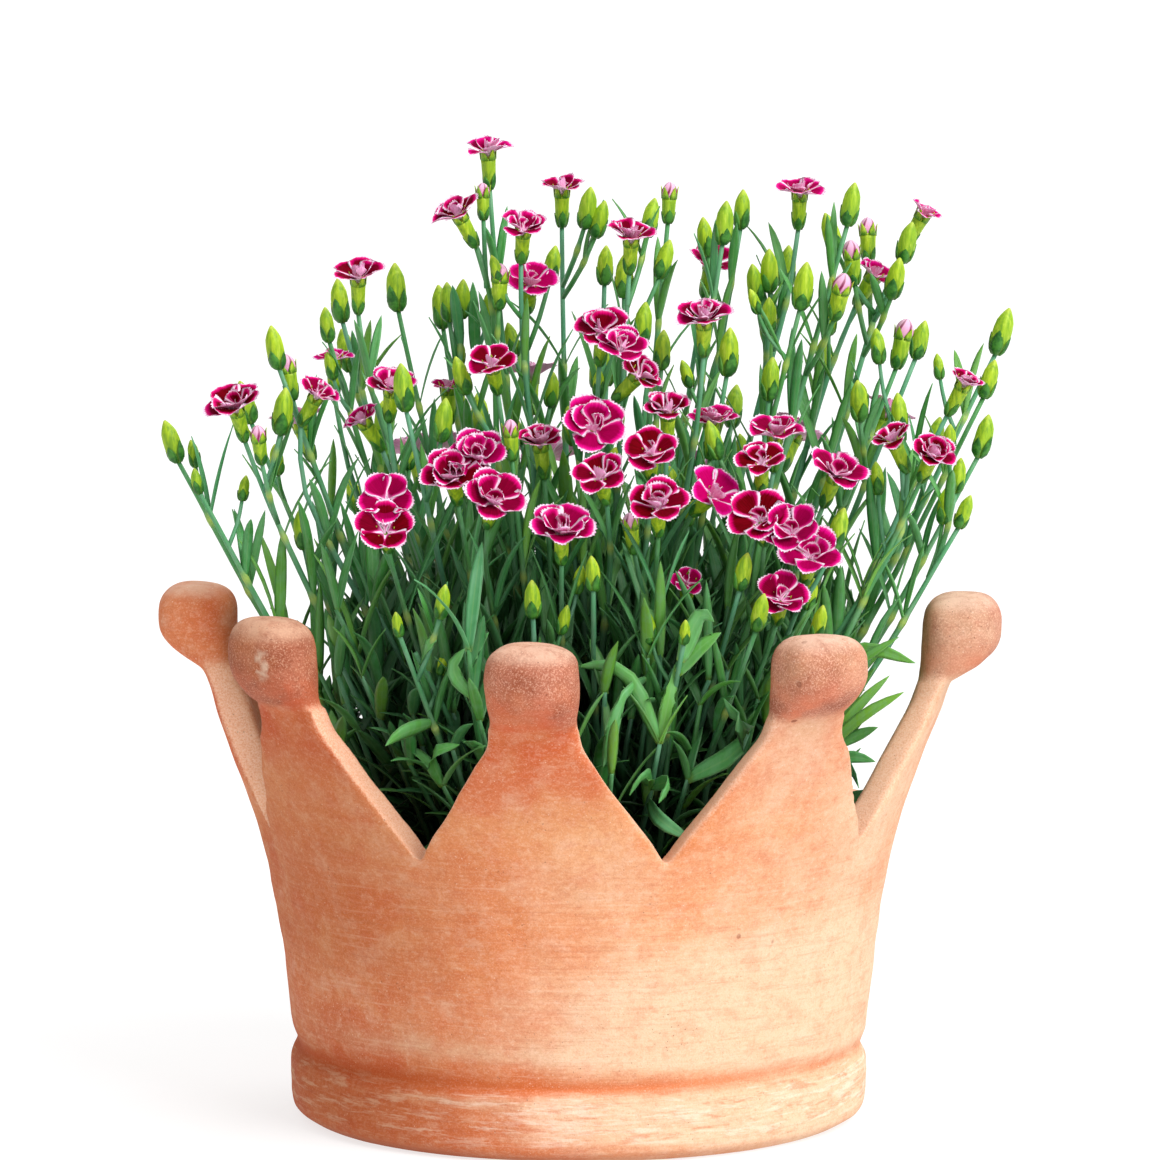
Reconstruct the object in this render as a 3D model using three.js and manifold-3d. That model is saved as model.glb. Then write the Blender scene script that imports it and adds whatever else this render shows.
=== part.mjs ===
// A dianthus plant in full bloom, in a terracotta planter shaped like a crown.
// Millimetres, +Z up. The origin is the centre of the planter's flat underside, and -Y is its front.

import * as THREE from "three";
import { mergeVertices } from "three/addons/utils/BufferGeometryUtils.js";
import Module from "manifold-3d";

const wasm = await Module();
wasm.setup();

// ---------------------------------------------------------------- driving dimensions

// Planter: outline as radius and height, outside from the underside up, inside from the top down.
const OUTER_WALL = [
  [113, 0], [119.6, 4], [121, 19], [120.8, 26], [118, 31.5], [120.9, 38],
  [127.3, 91], [134.8, 125], [158, 189],
];
const INNER_WALL = [[144.5, 189], [121.8, 125], [108.5, 40], [98, 13]];
const FLOOR_TOP = 13;
const PLANTER_SIDES = 40;

// Crown: bearings of the points, in degrees from the front, anticlockwise seen from above. All points have
// one shape, so where two stand further apart than usual, the rim between them runs level.
const POINT_BEARINGS = [0, 45, 90, 157.5, 202.5, 270, 315];
const POINT_SPACING = 45;
const VALLEY_HEIGHT = 126;
const NECK_HEIGHT = 181;
const NECK_WIDTH = 35;
const NECK_RADIUS = 150;
const NECK_CURVE = { inset: 2, below: 5, above: 3 }; // how a notch's straight side turns up into the neck
const CUTTER = { top: 260, depth: 140, start: 70 };

// A knob: its foot meets the point flush, it swells outward to its widest level, and its top is a flat dome.
const KNOB = { width: 40, inner: 145, outer: 178, widest: 208.5, top: 224 };
const KNOB_FOOT = { width: 35, inner: 144, outer: 157.6, height: 187.5 };
const KNOB_SWELL = { outer: 2.2, width: 1.5 };
const KNOB_SQUARENESS = { plan: 2.6, dome: 3 };
const KNOB_LEVELS = { taper: [1, 0.72, 0.36], dome: [0, 0.55, 0.86, 0.98] };
const KNOB_SIDES = 8;
const DRAIN_HOLES = { count: 3, radius: 6, ring: 45, first: 30, sides: 10, cutter: 40 };

// Soil
const SOIL_TOP = 114;
const SOIL_GAP = 0.3;
const SOIL_CROWN = { edge: -1, radius: 100, rise: 1 }; // the soil stands a little lower along the wall

// Plant: it stands turned in its planter, and its shoots fan out from a point below the soil.
const PLANT_TURN = 6.9;
const FAN_AT_SOIL = 0.46;
const FAN_RISE = 0.0031;
const CLUMP_RING = 116;
const CLUMPS_ROUND = 6;
const DRAWN_IN = { share: 0.44, height: 105 }; // shoots gather to this share of their spread at the soil
const CORE = { radius: 24, foot: 9, wide: 14, top: 32, taper: 0.8, sides: 6 };
const ROOT_STUB = { radius: 10, depth: 11, rise: 12, sides: 6 };
const STEM_RADIUS = 1.35;
const STEM_SIDES = 3;
const HEAD_SIDES = 4;
const CALYX = { length: 14, foot: 2.1, mouth: 3.1 };
const BUD = { length: 19, width: 7.6 };
const BRANCH = { below: 36, clear: 12, reach: 24 }; // a bud within reach of a stem branches from it
const FALL_BACK = 0.157; // a head that is moved back sinks by this share of the move
const CROWDING = { rounds: 80, level: 13, stem: 4 };
const TWIN = { width: 0.92, turn: 1, rise: 0.8, reach: 5 };

// Leaves: along the stems, and longer ones in a tuft round the foot of each clump.
const STEM_LEAF = {
  length: 44, shorter: 12, longer: 8, width: 4.6,
  lean: 24, leanMore: 16, droop: 0.15, droopMore: 0.35,
};
const TUFT_LEAF = {
  length: 50, longer: 26, width: 6.4,
  lean: 22, leanMore: 40, droop: 0.1, droopMore: 0.3,
};
const TUFT_LEAVES = 15;
const KEEL = 0.34;
const LEAF_BEARINGS = 18;
const CLEAR = { border: 5, leaf: 5, stem: 3.6, bloom: 4, bud: 7, soil: 6 };
const WALL = { low: 116, high: 136, knee: 190, top: 232 }; // how far out leaves may reach inside the planter
const SMALLEST_FACET = 0.02; // slivers under this size, left where leaves and stems join, are dropped
const SEED = 20;

// Blooms: across, depth, height of the face's middle, width, tilt from level, bearing of the tilt
// (0 is to the front, 90 to the right). A twin is across and up in the first bloom's own face.
const BLOOMS = [
  { at: [-38, 10, 407], width: 21, tilt: 8, turn: -20 },
  { at: [-50, -9, 383], width: 24, tilt: 30, turn: -60 },
  { at: [-23, -18, 378], width: 22, tilt: 22, turn: 10 },
  { at: [-7, 40, 387], width: 21, tilt: 5, turn: 0 },
  { at: [22, -30, 376], width: 24, tilt: 18, turn: 10 },
  { at: [56, 45, 355], width: 23, tilt: 22, turn: 30 },
  { at: [93, 30, 387], width: 22, tilt: 12, turn: 10 },
  { at: [145, 30, 378], width: 16, tilt: 30, turn: 75 },
  { at: [124, 30, 352], width: 18, tilt: 32, turn: 60 },
  { at: [52, -50, 344], width: 26, tilt: 18, turn: 0 },
  { at: [10, -50, 339], width: 26, tilt: 28, turn: 10, twin: [8, -12] },
  { at: [25, -56, 322], width: 22, tilt: 45, turn: 65 },
  { at: [-20, 5, 352], width: 24, tilt: 33, turn: 10 },
  { at: [-36, -53, 326], width: 22, tilt: 35, turn: -15 },
  { at: [-92, -26, 359], width: 24, tilt: 15, turn: 0 },
  { at: [-103, 30, 316], width: 18, tilt: 5, turn: -10 },
  { at: [-143, -39, 306], width: 28, tilt: 26, turn: -30 },
  { at: [-109, -39, 311], width: 20, tilt: 35, turn: 50 },
  { at: [-78, -44, 315], width: 24, tilt: 24, turn: 10 },
  { at: [-90, -24, 298], width: 18, tilt: 35, turn: -60 },
  { at: [-55, 30, 304], width: 15, tilt: 7, turn: -20 },
  { at: [-52, -81, 283], width: 29, tilt: 40, turn: -10, twin: [11, 9] },
  { at: [-35, -102, 276], width: 29, tilt: 42, turn: 15 },
  { at: [-80, -92, 262], width: 27, tilt: 52, turn: -5, twin: [1, 14] },
  { at: [-16, -67, 295], width: 22, tilt: 18, turn: -20 },
  { at: [6, -71, 302], width: 30, tilt: 50, turn: 10 },
  { at: [9, -94, 285], width: 25, tilt: 40, turn: -15 },
  { at: [30, -95, 295], width: 26, tilt: 40, turn: 0 },
  { at: [37, -65, 308], width: 23, tilt: 20, turn: 0 },
  { at: [56, -41, 300], width: 24, tilt: 12, turn: 20 },
  { at: [33, -90, 272], width: 28, tilt: 35, turn: 0 },
  { at: [56, -85, 276], width: 27, tilt: 55, turn: 40 },
  { at: [76, -73, 288], width: 23, tilt: 28, turn: 0 },
  { at: [82, -49, 296], width: 26, tilt: 15, turn: 10 },
  { at: [75, -88, 266], width: 29, tilt: 45, turn: -10, twin: [13, -9] },
  { at: [107, -67, 282], width: 28, tilt: 30, turn: 40 },
  { at: [96, -91, 251], width: 28, tilt: 40, turn: 10 },
  { at: [84, -95, 234], width: 25, tilt: 43, turn: 10 },
  { at: [131, -51, 294], width: 20, tilt: 28, turn: -55 },
  { at: [147, -53, 288], width: 22, tilt: 40, turn: 25 },
  { at: [161, -26, 314], width: 17, tilt: 30, turn: 60 },
  { at: [-7, -100, 263], width: 31, tilt: 30, turn: 0 },
  { at: [45, -71, 237], width: 15, tilt: 50, turn: 0 },
  { at: [-118, 62, 284], width: 26, tilt: 24, turn: -125 },
  { at: [-70, 96, 266], width: 28, tilt: 28, turn: -150, twin: [12, 8] },
  { at: [-14, 116, 262], width: 27, tilt: 40, turn: 175 },
  { at: [38, 112, 254], width: 28, tilt: 40, turn: 160, twin: [12, -8] },
  { at: [92, 84, 276], width: 27, tilt: 30, turn: 135 },
  { at: [130, 40, 292], width: 24, tilt: 26, turn: 110 },
  { at: [-20, 66, 304], width: 25, tilt: 12, turn: 180, twin: [-13, 5] },
];

// Buds: across, depth, height of the bud's middle, and its size beside a full one.
const BUDS = [
  [-171, 10, 285, 1], [-160, -30, 274, 0.6], [-127, -26, 330, 1], [-106, 20, 333, 0.8],
  [-101, 37, 341, 1], [-77, 20, 349, 1.1], [-123, -40, 305, 1.1], [-73, -46, 316, 1.1],
  [-55, 25, 342, 0.9], [-37, 25, 340, 1], [-49, -46, 321, 0.9], [-56, -57, 304, 1],
  [-11, 15, 359, 0.9], [4, 25, 382, 1], [30, -6, 382, 0.9],
  [-40, -3, 388, 0.8], [38, 30, 383, 0.9], [61, -7, 380, 1], [69, 35, 380, 0.9],
  [36, -17, 366, 0.9], [35, -40, 331, 0.9], [63, -38, 330, 1.1], [74, 20, 351, 0.9],
  [88, 45, 354, 1], [80, 10, 338, 0.9], [94, -19, 355, 1.1], [106, 25, 371, 1],
  [114, -1, 387, 1], [122, 45, 365, 1], [138, 20, 368, 1], [109, -20, 350, 1.1],
  [136, 30, 323, 1.1], [178, 15, 331, 1.1], [172, -8, 314, 0.9], [170, -16, 291, 1],
  [161, -35, 262, 0.8], [108, -71, 260, 1], [-75, -108, 226, 0.6], [-19, -111, 237, 0.9],
  [44, -116, 224, 0.6], [68, -94, 246, 0.9], [22, -91, 261, 0.9],
  [-133, -43, 291, 0.9], [-140, 22, 300, 1], [-98, 50, 318, 1], [-96, 92, 250, 0.8],
  [-42, 110, 282, 1], [12, 92, 306, 1], [66, 92, 288, 1], [104, 56, 314, 1],
  [150, 18, 286, 0.9], [-58, 40, 338, 1], [64, 118, 244, 0.8],
];

// ---------------------------------------------------------------- small helpers

const radians = THREE.MathUtils.degToRad;

function makeRandom(seed) {
  let state = seed;
  return () => {
    state = (state + 0x6d2b79f5) | 0;
    let value = Math.imul(state ^ (state >>> 15), 1 | state);
    value = (value + Math.imul(value ^ (value >>> 7), 61 | value)) ^ value;
    return ((value ^ (value >>> 14)) >>> 0) / 4294967296;
  };
}

function closedGeometry(points, triangles) {
  const geometry = new THREE.BufferGeometry();
  const numbers = points.flatMap((point) => [point.x, point.y, point.z]);
  geometry.setAttribute("position", new THREE.Float32BufferAttribute(numbers, 3));
  geometry.setIndex(triangles.flat());
  return geometry;
}

function toSolid(geometry) {
  const bare = geometry.clone();
  bare.deleteAttribute("normal");
  bare.deleteAttribute("uv");
  const merged = mergeVertices(bare, 1e-4);
  const vertProperties = new Float32Array(merged.attributes.position.array);
  const triVerts = new Uint32Array(merged.index.array);
  return new wasm.Manifold(new wasm.Mesh({ numProp: 3, vertProperties, triVerts }));
}

function toGeometry(solid) {
  const mesh = solid.getMesh();
  const geometry = new THREE.BufferGeometry();
  geometry.setAttribute("position", new THREE.BufferAttribute(mesh.vertProperties, 3));
  geometry.setIndex(new THREE.BufferAttribute(mesh.triVerts, 1));
  return geometry;
}

function joined(solids) {
  return solids.reduce((whole, solid) => whole.add(solid));
}

// The outer surface alone: a hollow that joining has sealed is filled, and a loose scrap is dropped.
function outerSurface(geometry) {
  const position = geometry.attributes.position;
  const index = geometry.index.array;
  const owner = Array.from({ length: position.count }, (_, k) => k);
  const find = (k) => {
    let root = k;
    while (owner[root] !== root) root = owner[root];
    owner[k] = root;
    return root;
  };
  for (let k = 0; k < index.length; k += 3) {
    owner[find(index[k + 1])] = find(index[k]);
    owner[find(index[k + 2])] = find(index[k]);
  }
  const volumes = new Map();
  const corner = [new THREE.Vector3(), new THREE.Vector3(), new THREE.Vector3()];
  for (let k = 0; k < index.length; k += 3) {
    corner.forEach((point, n) => point.fromBufferAttribute(position, index[k + n]));
    const shell = find(index[k]);
    volumes.set(shell, (volumes.get(shell) ?? 0) + corner[0].dot(corner[1].cross(corner[2])) / 6);
  }
  const [largest] = [...volumes.entries()].sort((a, b) => b[1] - a[1])[0];
  const kept = [];
  for (let k = 0; k < index.length; k += 3) {
    if (find(index[k]) === largest) kept.push(index[k], index[k + 1], index[k + 2]);
  }
  const result = geometry.clone();
  result.setIndex(kept);
  return mergeVertices(result, 1e-6);
}

function material(color, roughness) {
  return new THREE.MeshStandardMaterial({ color, roughness, metalness: 0 });
}

function named(name, geometry, finish) {
  const mesh = new THREE.Mesh(geometry, finish);
  mesh.name = name;
  return mesh;
}

function lathe(profile, sides) {
  const outline = profile.map(([radius, height]) => new THREE.Vector2(radius, height));
  return new THREE.LatheGeometry(outline, sides).rotateX(Math.PI / 2);
}

// A closed tube through stations, each with its point, radius and number of sides. One side is a pointed end.
function taperedTube(stations) {
  const vertices = [];
  const rings = stations.map(({ point, radius, sides }, i) => {
    const ahead = stations[Math.min(i + 1, stations.length - 1)].point;
    const behind = stations[Math.max(i - 1, 0)].point;
    const along = ahead.clone().sub(behind).normalize();
    const side = new THREE.Vector3(0.31, 0.95, 0).cross(along).normalize();
    const up = along.clone().cross(side);
    return Array.from({ length: sides }, (_, k) => {
      const angle = (2 * Math.PI * k) / sides;
      const vertex = point.clone();
      if (sides > 1) vertex.addScaledVector(side, radius * Math.cos(angle));
      if (sides > 1) vertex.addScaledVector(up, radius * Math.sin(angle));
      vertices.push(vertex);
      return vertices.length - 1;
    });
  });
  return closedGeometry(vertices, skin(rings));
}

function station(point, radius, sides) {
  return { point, radius, sides };
}

// Triangles between neighbouring rings of vertices, with both ends closed.
function skin(rings) {
  const triangles = [];
  for (let i = 0; i + 1 < rings.length; i += 1) zip(triangles, rings[i], rings[i + 1]);
  const first = rings[0];
  const last = rings[rings.length - 1];
  for (let k = 1; k + 1 < first.length; k += 1) triangles.push([first[0], first[k + 1], first[k]]);
  for (let k = 1; k + 1 < last.length; k += 1) triangles.push([last[0], last[k], last[k + 1]]);
  return triangles;
}

// Triangles between two rings that may have different numbers of vertices.
function zip(triangles, low, high) {
  let i = 0;
  let j = 0;
  while (i < low.length || j < high.length) {
    const lowNext = (i + 1) / low.length;
    const highNext = (j + 1) / high.length;
    const fromLow = low[i % low.length];
    const fromHigh = high[j % high.length];
    if (j === high.length || (i < low.length && lowNext <= highNext)) {
      if (low.length > 1) triangles.push([fromLow, low[(i + 1) % low.length], fromHigh]);
      i += 1;
    } else {
      if (high.length > 1) triangles.push([fromLow, high[(j + 1) % high.length], fromHigh]);
      j += 1;
    }
  }
}

// ---------------------------------------------------------------- crown planter

function bearingVector(bearing) {
  return new THREE.Vector3(Math.sin(radians(bearing)), -Math.cos(radians(bearing)), 0);
}

// Half the width of the notch between two points, at their necks.
function notchReach(halfSpacing) {
  const half = radians(halfSpacing);
  return NECK_RADIUS * Math.sin(half) - (NECK_WIDTH / 2) * Math.cos(half);
}

// A V-shaped wedge that cuts the wall between two neighbouring points of the crown.
function notch(bearing, halfSpacing) {
  const top = notchReach(halfSpacing);
  const level = top - notchReach(POINT_SPACING / 2);
  const side = [
    [top - NECK_CURVE.inset, NECK_HEIGHT - NECK_CURVE.below],
    [top, NECK_HEIGHT + NECK_CURVE.above],
    [top, CUTTER.top],
  ];
  const valley = level > 0 ? [[-level, VALLEY_HEIGHT], [level, VALLEY_HEIGHT]] : [[0, VALLEY_HEIGHT]];
  const otherSide = side.map(([x, y]) => [-x, y]).reverse();
  const shape = new THREE.Shape([...valley, ...side, ...otherSide].map(([x, y]) => new THREE.Vector2(x, y)));
  const wedge = new THREE.ExtrudeGeometry(shape, { depth: CUTTER.depth, bevelEnabled: false });
  wedge.rotateX(Math.PI / 2);
  wedge.translate(0, -CUTTER.start, 0);
  wedge.rotateZ(radians(bearing));
  return wedge;
}

// The rings of a knob, from its foot up: height, middle along the radius, and half sizes along and across it.
function knobRings() {
  const { taper, dome } = KNOB_LEVELS;
  const below = taper.map((share) => {
    const outer = KNOB.outer - (KNOB.outer - KNOB_FOOT.outer) * share ** KNOB_SWELL.outer;
    const inner = KNOB.inner - (KNOB.inner - KNOB_FOOT.inner) * share;
    const width = KNOB.width - (KNOB.width - KNOB_FOOT.width) * share ** KNOB_SWELL.width;
    const height = KNOB.widest - (KNOB.widest - KNOB_FOOT.height) * share;
    return { height, middle: (inner + outer) / 2, deep: (outer - inner) / 2, wide: width / 2 };
  });
  const above = dome.map((share) => {
    const size = (1 - share ** KNOB_SQUARENESS.dome) ** (1 / KNOB_SQUARENESS.dome);
    const height = KNOB.widest + (KNOB.top - KNOB.widest) * share;
    const deep = (size * (KNOB.outer - KNOB.inner)) / 2;
    return { height, middle: (KNOB.inner + KNOB.outer) / 2, deep, wide: (size * KNOB.width) / 2 };
  });
  return [...below, ...above];
}

function squareRound(value) {
  return Math.sign(value) * Math.abs(value) ** (2 / KNOB_SQUARENESS.plan);
}

function knob(bearing) {
  const vertices = [];
  const rings = knobRings().map(({ height, middle, deep, wide }) => (
    Array.from({ length: KNOB_SIDES }, (_, k) => {
      const angle = (2 * Math.PI * k) / KNOB_SIDES;
      const across = wide * squareRound(Math.cos(angle));
      const out = middle - deep * squareRound(Math.sin(angle));
      vertices.push(new THREE.Vector3(across, -out, height));
      return vertices.length - 1;
    })
  ));
  return closedGeometry(vertices, skin(rings)).rotateZ(radians(bearing));
}

function crownPlanter() {
  const profile = [[0, 0], ...OUTER_WALL, ...INNER_WALL, [0, FLOOR_TOP]];
  let solid = toSolid(lathe(profile, PLANTER_SIDES));
  POINT_BEARINGS.forEach((bearing, i) => {
    const next = i + 1 < POINT_BEARINGS.length ? POINT_BEARINGS[i + 1] : 360;
    solid = solid.subtract(toSolid(notch((bearing + next) / 2, (next - bearing) / 2)));
  });
  POINT_BEARINGS.forEach((bearing) => {
    solid = solid.add(toSolid(knob(bearing)));
  });
  const { count, radius, ring, first, sides, cutter } = DRAIN_HOLES;
  for (let i = 0; i < count; i += 1) {
    const hole = new THREE.CylinderGeometry(radius, radius, cutter, sides).rotateX(Math.PI / 2);
    const centre = bearingVector(first + (360 * i) / count).multiplyScalar(ring);
    solid = solid.subtract(toSolid(hole.translate(centre.x, centre.y, 0)));
  }
  return toGeometry(solid);
}

// ---------------------------------------------------------------- how the plant fans out

// How wide the plant has spread at a height, beside its spread 174 mm above the soil.
function spread(height) {
  return FAN_AT_SOIL + FAN_RISE * (height - SOIL_TOP);
}

// The place of a point in the fan: where its own ray from below the soil passes.
function ray(point) {
  return { x: point.x / spread(point.z), y: point.y / spread(point.z) };
}

function clumpCentres() {
  const centres = [{ x: 0, y: 0 }];
  for (let i = 0; i < CLUMPS_ROUND; i += 1) {
    const angle = radians((360 * (i + 0.5)) / CLUMPS_ROUND);
    centres.push({ x: CLUMP_RING * Math.sin(angle), y: -CLUMP_RING * Math.cos(angle) });
  }
  return centres;
}

const CENTRES = clumpCentres();

function gapToBorder(place, clump) {
  const own = CENTRES[clump];
  let gap = Infinity;
  CENTRES.forEach((other, k) => {
    if (k === clump) return;
    const apart = Math.hypot(other.x - own.x, other.y - own.y);
    const toOther = (place.x - other.x) ** 2 + (place.y - other.y) ** 2;
    const toOwn = (place.x - own.x) ** 2 + (place.y - own.y) ** 2;
    gap = Math.min(gap, (toOther - toOwn) / (2 * apart));
  });
  return gap;
}

function clumpOf(point) {
  const place = ray(point);
  return CENTRES.findIndex((_, k) => gapToBorder(place, k) >= 0);
}

// A shoot's place at a height: its own ray, drawn in towards the clump's middle near the soil.
function shootAt(place, clump, height) {
  const rise = Math.min(1, Math.max(0, (height - SOIL_TOP) / DRAWN_IN.height));
  const drawn = DRAWN_IN.share + (1 - DRAWN_IN.share) * rise * (2 - rise);
  const middle = CENTRES[clump];
  const wide = spread(height);
  return new THREE.Vector3(
    wide * (middle.x + drawn * (place.x - middle.x)),
    wide * (middle.y + drawn * (place.y - middle.y)),
    height,
  );
}

// ---------------------------------------------------------------- heads: blooms and buds

function faceVector(tilt, turn) {
  const lean = Math.sin(radians(tilt));
  return bearingVector(turn).multiplyScalar(lean).setZ(Math.cos(radians(tilt)));
}

function makeHeads() {
  const blooms = BLOOMS.map((bloom) => ({
    kind: "bloom",
    centre: new THREE.Vector3(...bloom.at),
    reach: bloom.width / 2 + (bloom.twin ? TWIN.reach : 0),
    ...bloom,
  }));
  const buds = BUDS.map(([x, y, z, size]) => ({
    kind: "bud",
    centre: new THREE.Vector3(x, y, z),
    reach: (BUD.width / 2) * size + 1,
    size,
  }));
  return [...blooms, ...buds];
}

// Heads that crowd each other, or another head's stem, are moved apart from front to back.
function spreadHeads(heads) {
  for (let round = 0; round < CROWDING.rounds; round += 1) {
    for (let i = 0; i < heads.length; i += 1) {
      for (let j = i + 1; j < heads.length; j += 1) {
        const low = heads[i].centre.z < heads[j].centre.z ? heads[i] : heads[j];
        const high = low === heads[i] ? heads[j] : heads[i];
        const level = high.centre.z - low.centre.z < CROWDING.level;
        const need = low.reach + (level ? high.reach : CROWDING.stem);
        const shrink = spread(low.centre.z) / spread(high.centre.z);
        const across = low.centre.x - high.centre.x * shrink;
        const deep = low.centre.y - high.centre.y * shrink;
        if (across * across + deep * deep >= need * need) continue;
        const push = (Math.sqrt(Math.max(0, need * need - across * across)) - Math.abs(deep)) * 0.5;
        const way = deep < 0 ? -1 : 1;
        moveBack(low, way * push);
        moveBack(high, -way * push);
      }
    }
  }
}

function moveBack(head, amount) {
  head.centre.y += amount;
  head.centre.z -= FALL_BACK * amount;
}

// ---------------------------------------------------------------- blooms

// One corolla, its face up and its middle at the origin: five toothed petals round five smaller ones.
function corolla(width, random) {
  const radius = width / 2;
  const outer = [];
  const inner = [];
  const crease = [];
  const turned = random() * 2;
  for (let petal = 0; petal < 5; petal += 1) {
    const lift = (random() - 0.35) * 0.14 * radius;
    const length = radius * (0.93 + 0.07 * random());
    const edge = [[-0.5, 0.5, 0], [-0.27, 0.95, 0.8], [-0.02, 0.87, 0.9], [0.25, 1, 1]];
    edge.forEach(([bearing, reach, share]) => {
      outer.push(polar(petal + bearing, turned, reach * length, lift * share));
    });
    crease.push(polar(petal, turned, radius * 0.24, 0.09 * radius));
    const crown = radius * (0.24 + 0.1 * random());
    const rim = [[0, 0.34, 0.12 * radius], [0.5, 0.58, crown]];
    rim.forEach(([bearing, reach, height]) => {
      inner.push(polar(petal + bearing, turned, reach * radius, height));
    });
  }
  const middle = [new THREE.Vector3(0, 0, -0.17 * radius), new THREE.Vector3(0, 0, 0.16 * radius)];
  const points = [...outer, ...crease, ...inner, ...middle];
  const firstCrease = outer.length;
  const firstInner = firstCrease + crease.length;
  const under = points.length - 2;
  const top = points.length - 1;
  const triangles = [];
  outer.forEach((_, k) => triangles.push([under, (k + 1) % outer.length, k]));
  bridge(triangles, range(0, outer.length), range(firstCrease, crease.length), 2);
  bridge(triangles, range(firstInner, inner.length), range(firstCrease, crease.length), 0, true);
  inner.forEach((_, k) => triangles.push([top, firstInner + k, firstInner + ((k + 1) % inner.length)]));
  return closedGeometry(points, triangles);
}

function polar(petals, turned, distance, height) {
  const angle = turned + (2 * Math.PI * petals) / 5;
  return new THREE.Vector3(distance * Math.cos(angle), distance * Math.sin(angle), height);
}

function range(first, count) {
  return Array.from({ length: count }, (_, k) => first + k);
}

// Triangles from a fine ring to a coarse one, whose point k faces the fine ring's point k * share + offset.
function bridge(triangles, fine, coarse, offset, flipped = false) {
  const share = fine.length / coarse.length;
  const add = (a, b, c) => triangles.push(flipped ? [a, c, b] : [a, b, c]);
  coarse.forEach((point, k) => {
    for (let step = 0; step < share; step += 1) {
      const at = (k * share + offset + step) % fine.length;
      const next = (at + 1) % fine.length;
      const late = step >= share / 2;
      if (step === Math.ceil(share / 2)) add(fine[at], coarse[(k + 1) % coarse.length], point);
      add(fine[at], fine[next], late ? coarse[(k + 1) % coarse.length] : point);
    }
  });
}

function placed(geometry, centre, normal) {
  const turn = new THREE.Quaternion().setFromUnitVectors(new THREE.Vector3(0, 0, 1), normal);
  return geometry.applyQuaternion(turn).translate(centre.x, centre.y, centre.z);
}

function bloomGeometry(head, random) {
  const normal = faceVector(head.tilt, head.turn);
  const first = corolla(head.width, random);
  if (!head.twin) return placed(first, head.centre, normal);
  const second = corolla(head.width * TWIN.width, random).rotateZ(TWIN.turn);
  second.translate(head.twin[0], head.twin[1], TWIN.rise);
  return placed(toGeometry(toSolid(first).add(toSolid(second))), head.centre, normal);
}

// ---------------------------------------------------------------- stems, calyces, buds and leaves

// The stations of a head's own green part, from the stem's end up.
function greenHead(head, foot) {
  if (head.kind === "bloom") {
    const axis = faceVector(head.tilt, head.turn);
    const top = head.centre.clone().addScaledVector(axis, -0.085 * head.width - 0.4);
    const at = (share) => top.clone().addScaledVector(axis, -CALYX.length * (1 - share));
    return [
      station(at(0), STEM_RADIUS, STEM_SIDES),
      station(at(0.3), CALYX.foot, HEAD_SIDES),
      station(top, CALYX.mouth, HEAD_SIDES),
    ];
  }
  const axis = head.centre.clone().sub(foot).normalize().lerp(new THREE.Vector3(0, 0, 1), 0.4).normalize();
  const at = (share) => head.centre.clone().addScaledVector(axis, BUD.length * head.size * (share - 0.5));
  const wide = (BUD.width / 2) * head.size;
  return [
    station(at(0), STEM_RADIUS, STEM_SIDES),
    station(at(0.25), wide * 0.66, HEAD_SIDES),
    station(at(0.6), wide, HEAD_SIDES),
    station(at(1), 0, 1),
  ];
}

function stemHeights(top) {
  const steps = top > 340 ? 3 : 2;
  const start = SOIL_TOP + 6;
  return Array.from({ length: steps }, (_, k) => start + ((top - start) * k) / steps);
}

// A narrow keeled leaf. It leaves its stem along one line, and a long one bends over towards its tip.
function leaf(foot, heading, size) {
  const flat = new THREE.Vector3(heading.x, heading.y, 0).normalize();
  const side = new THREE.Vector3(-flat.y, flat.x, 0);
  const keel = heading.clone().cross(side).multiplyScalar(-KEEL);
  const middle = foot.clone().addScaledVector(heading, size.length * 0.45);
  const bent = heading.clone().lerp(flat, size.droop).normalize();
  const late = middle.clone().addScaledVector(bent, size.length * 0.3);
  const last = bent.clone().lerp(flat, size.droop).normalize();
  const tip = late.clone().addScaledVector(last, size.length * 0.25);
  const vertices = [foot];
  const across = [[middle, size.width / 2]];
  if (size.bends) across.push([late, size.width * 0.36]);
  across.forEach(([at, half]) => {
    vertices.push(at.clone().addScaledVector(side, -half));
    vertices.push(at.clone().addScaledVector(keel, half));
    vertices.push(at.clone().addScaledVector(side, half));
  });
  vertices.push(tip);
  const rings = size.bends ? [[0], [1, 2, 3], [4, 5, 6], [7]] : [[0], [1, 2, 3], [4]];
  return { geometry: closedGeometry(vertices, skin(rings)), middle, tip };
}

// Whether a leaf stays in its clump's own part of the fan, inside the planter, away from every head, and
// clear of the clump's other stems and leaves.
function leafFits(points, clump, heads, shoots, leaves) {
  return points.every((point) => {
    const wide = spread(point.z);
    if (gapToBorder(ray(point), clump) * wide < CLEAR.border) return false;
    const wall = point.z < WALL.knee ? WALL.low : WALL.high;
    if (point.z < WALL.top && Math.hypot(point.x, point.y) > wall) return false;
    if (point.z < SOIL_TOP + CLEAR.soil) return false;
    const touches = (other) => other.points.some((spot) => spot.distanceTo(point) < CLEAR.leaf);
    if (leaves.some(touches)) return false;
    const nearStem = (shoot) => shootAt(shoot.place, clump, point.z).distanceTo(point) < CLEAR.stem;
    if (shoots.some((shoot) => point.z < shoot.top && nearStem(shoot))) return false;
    return heads.every((head) => point.distanceTo(head.centre) > head.reach + CLEAR[head.kind]);
  });
}

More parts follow.
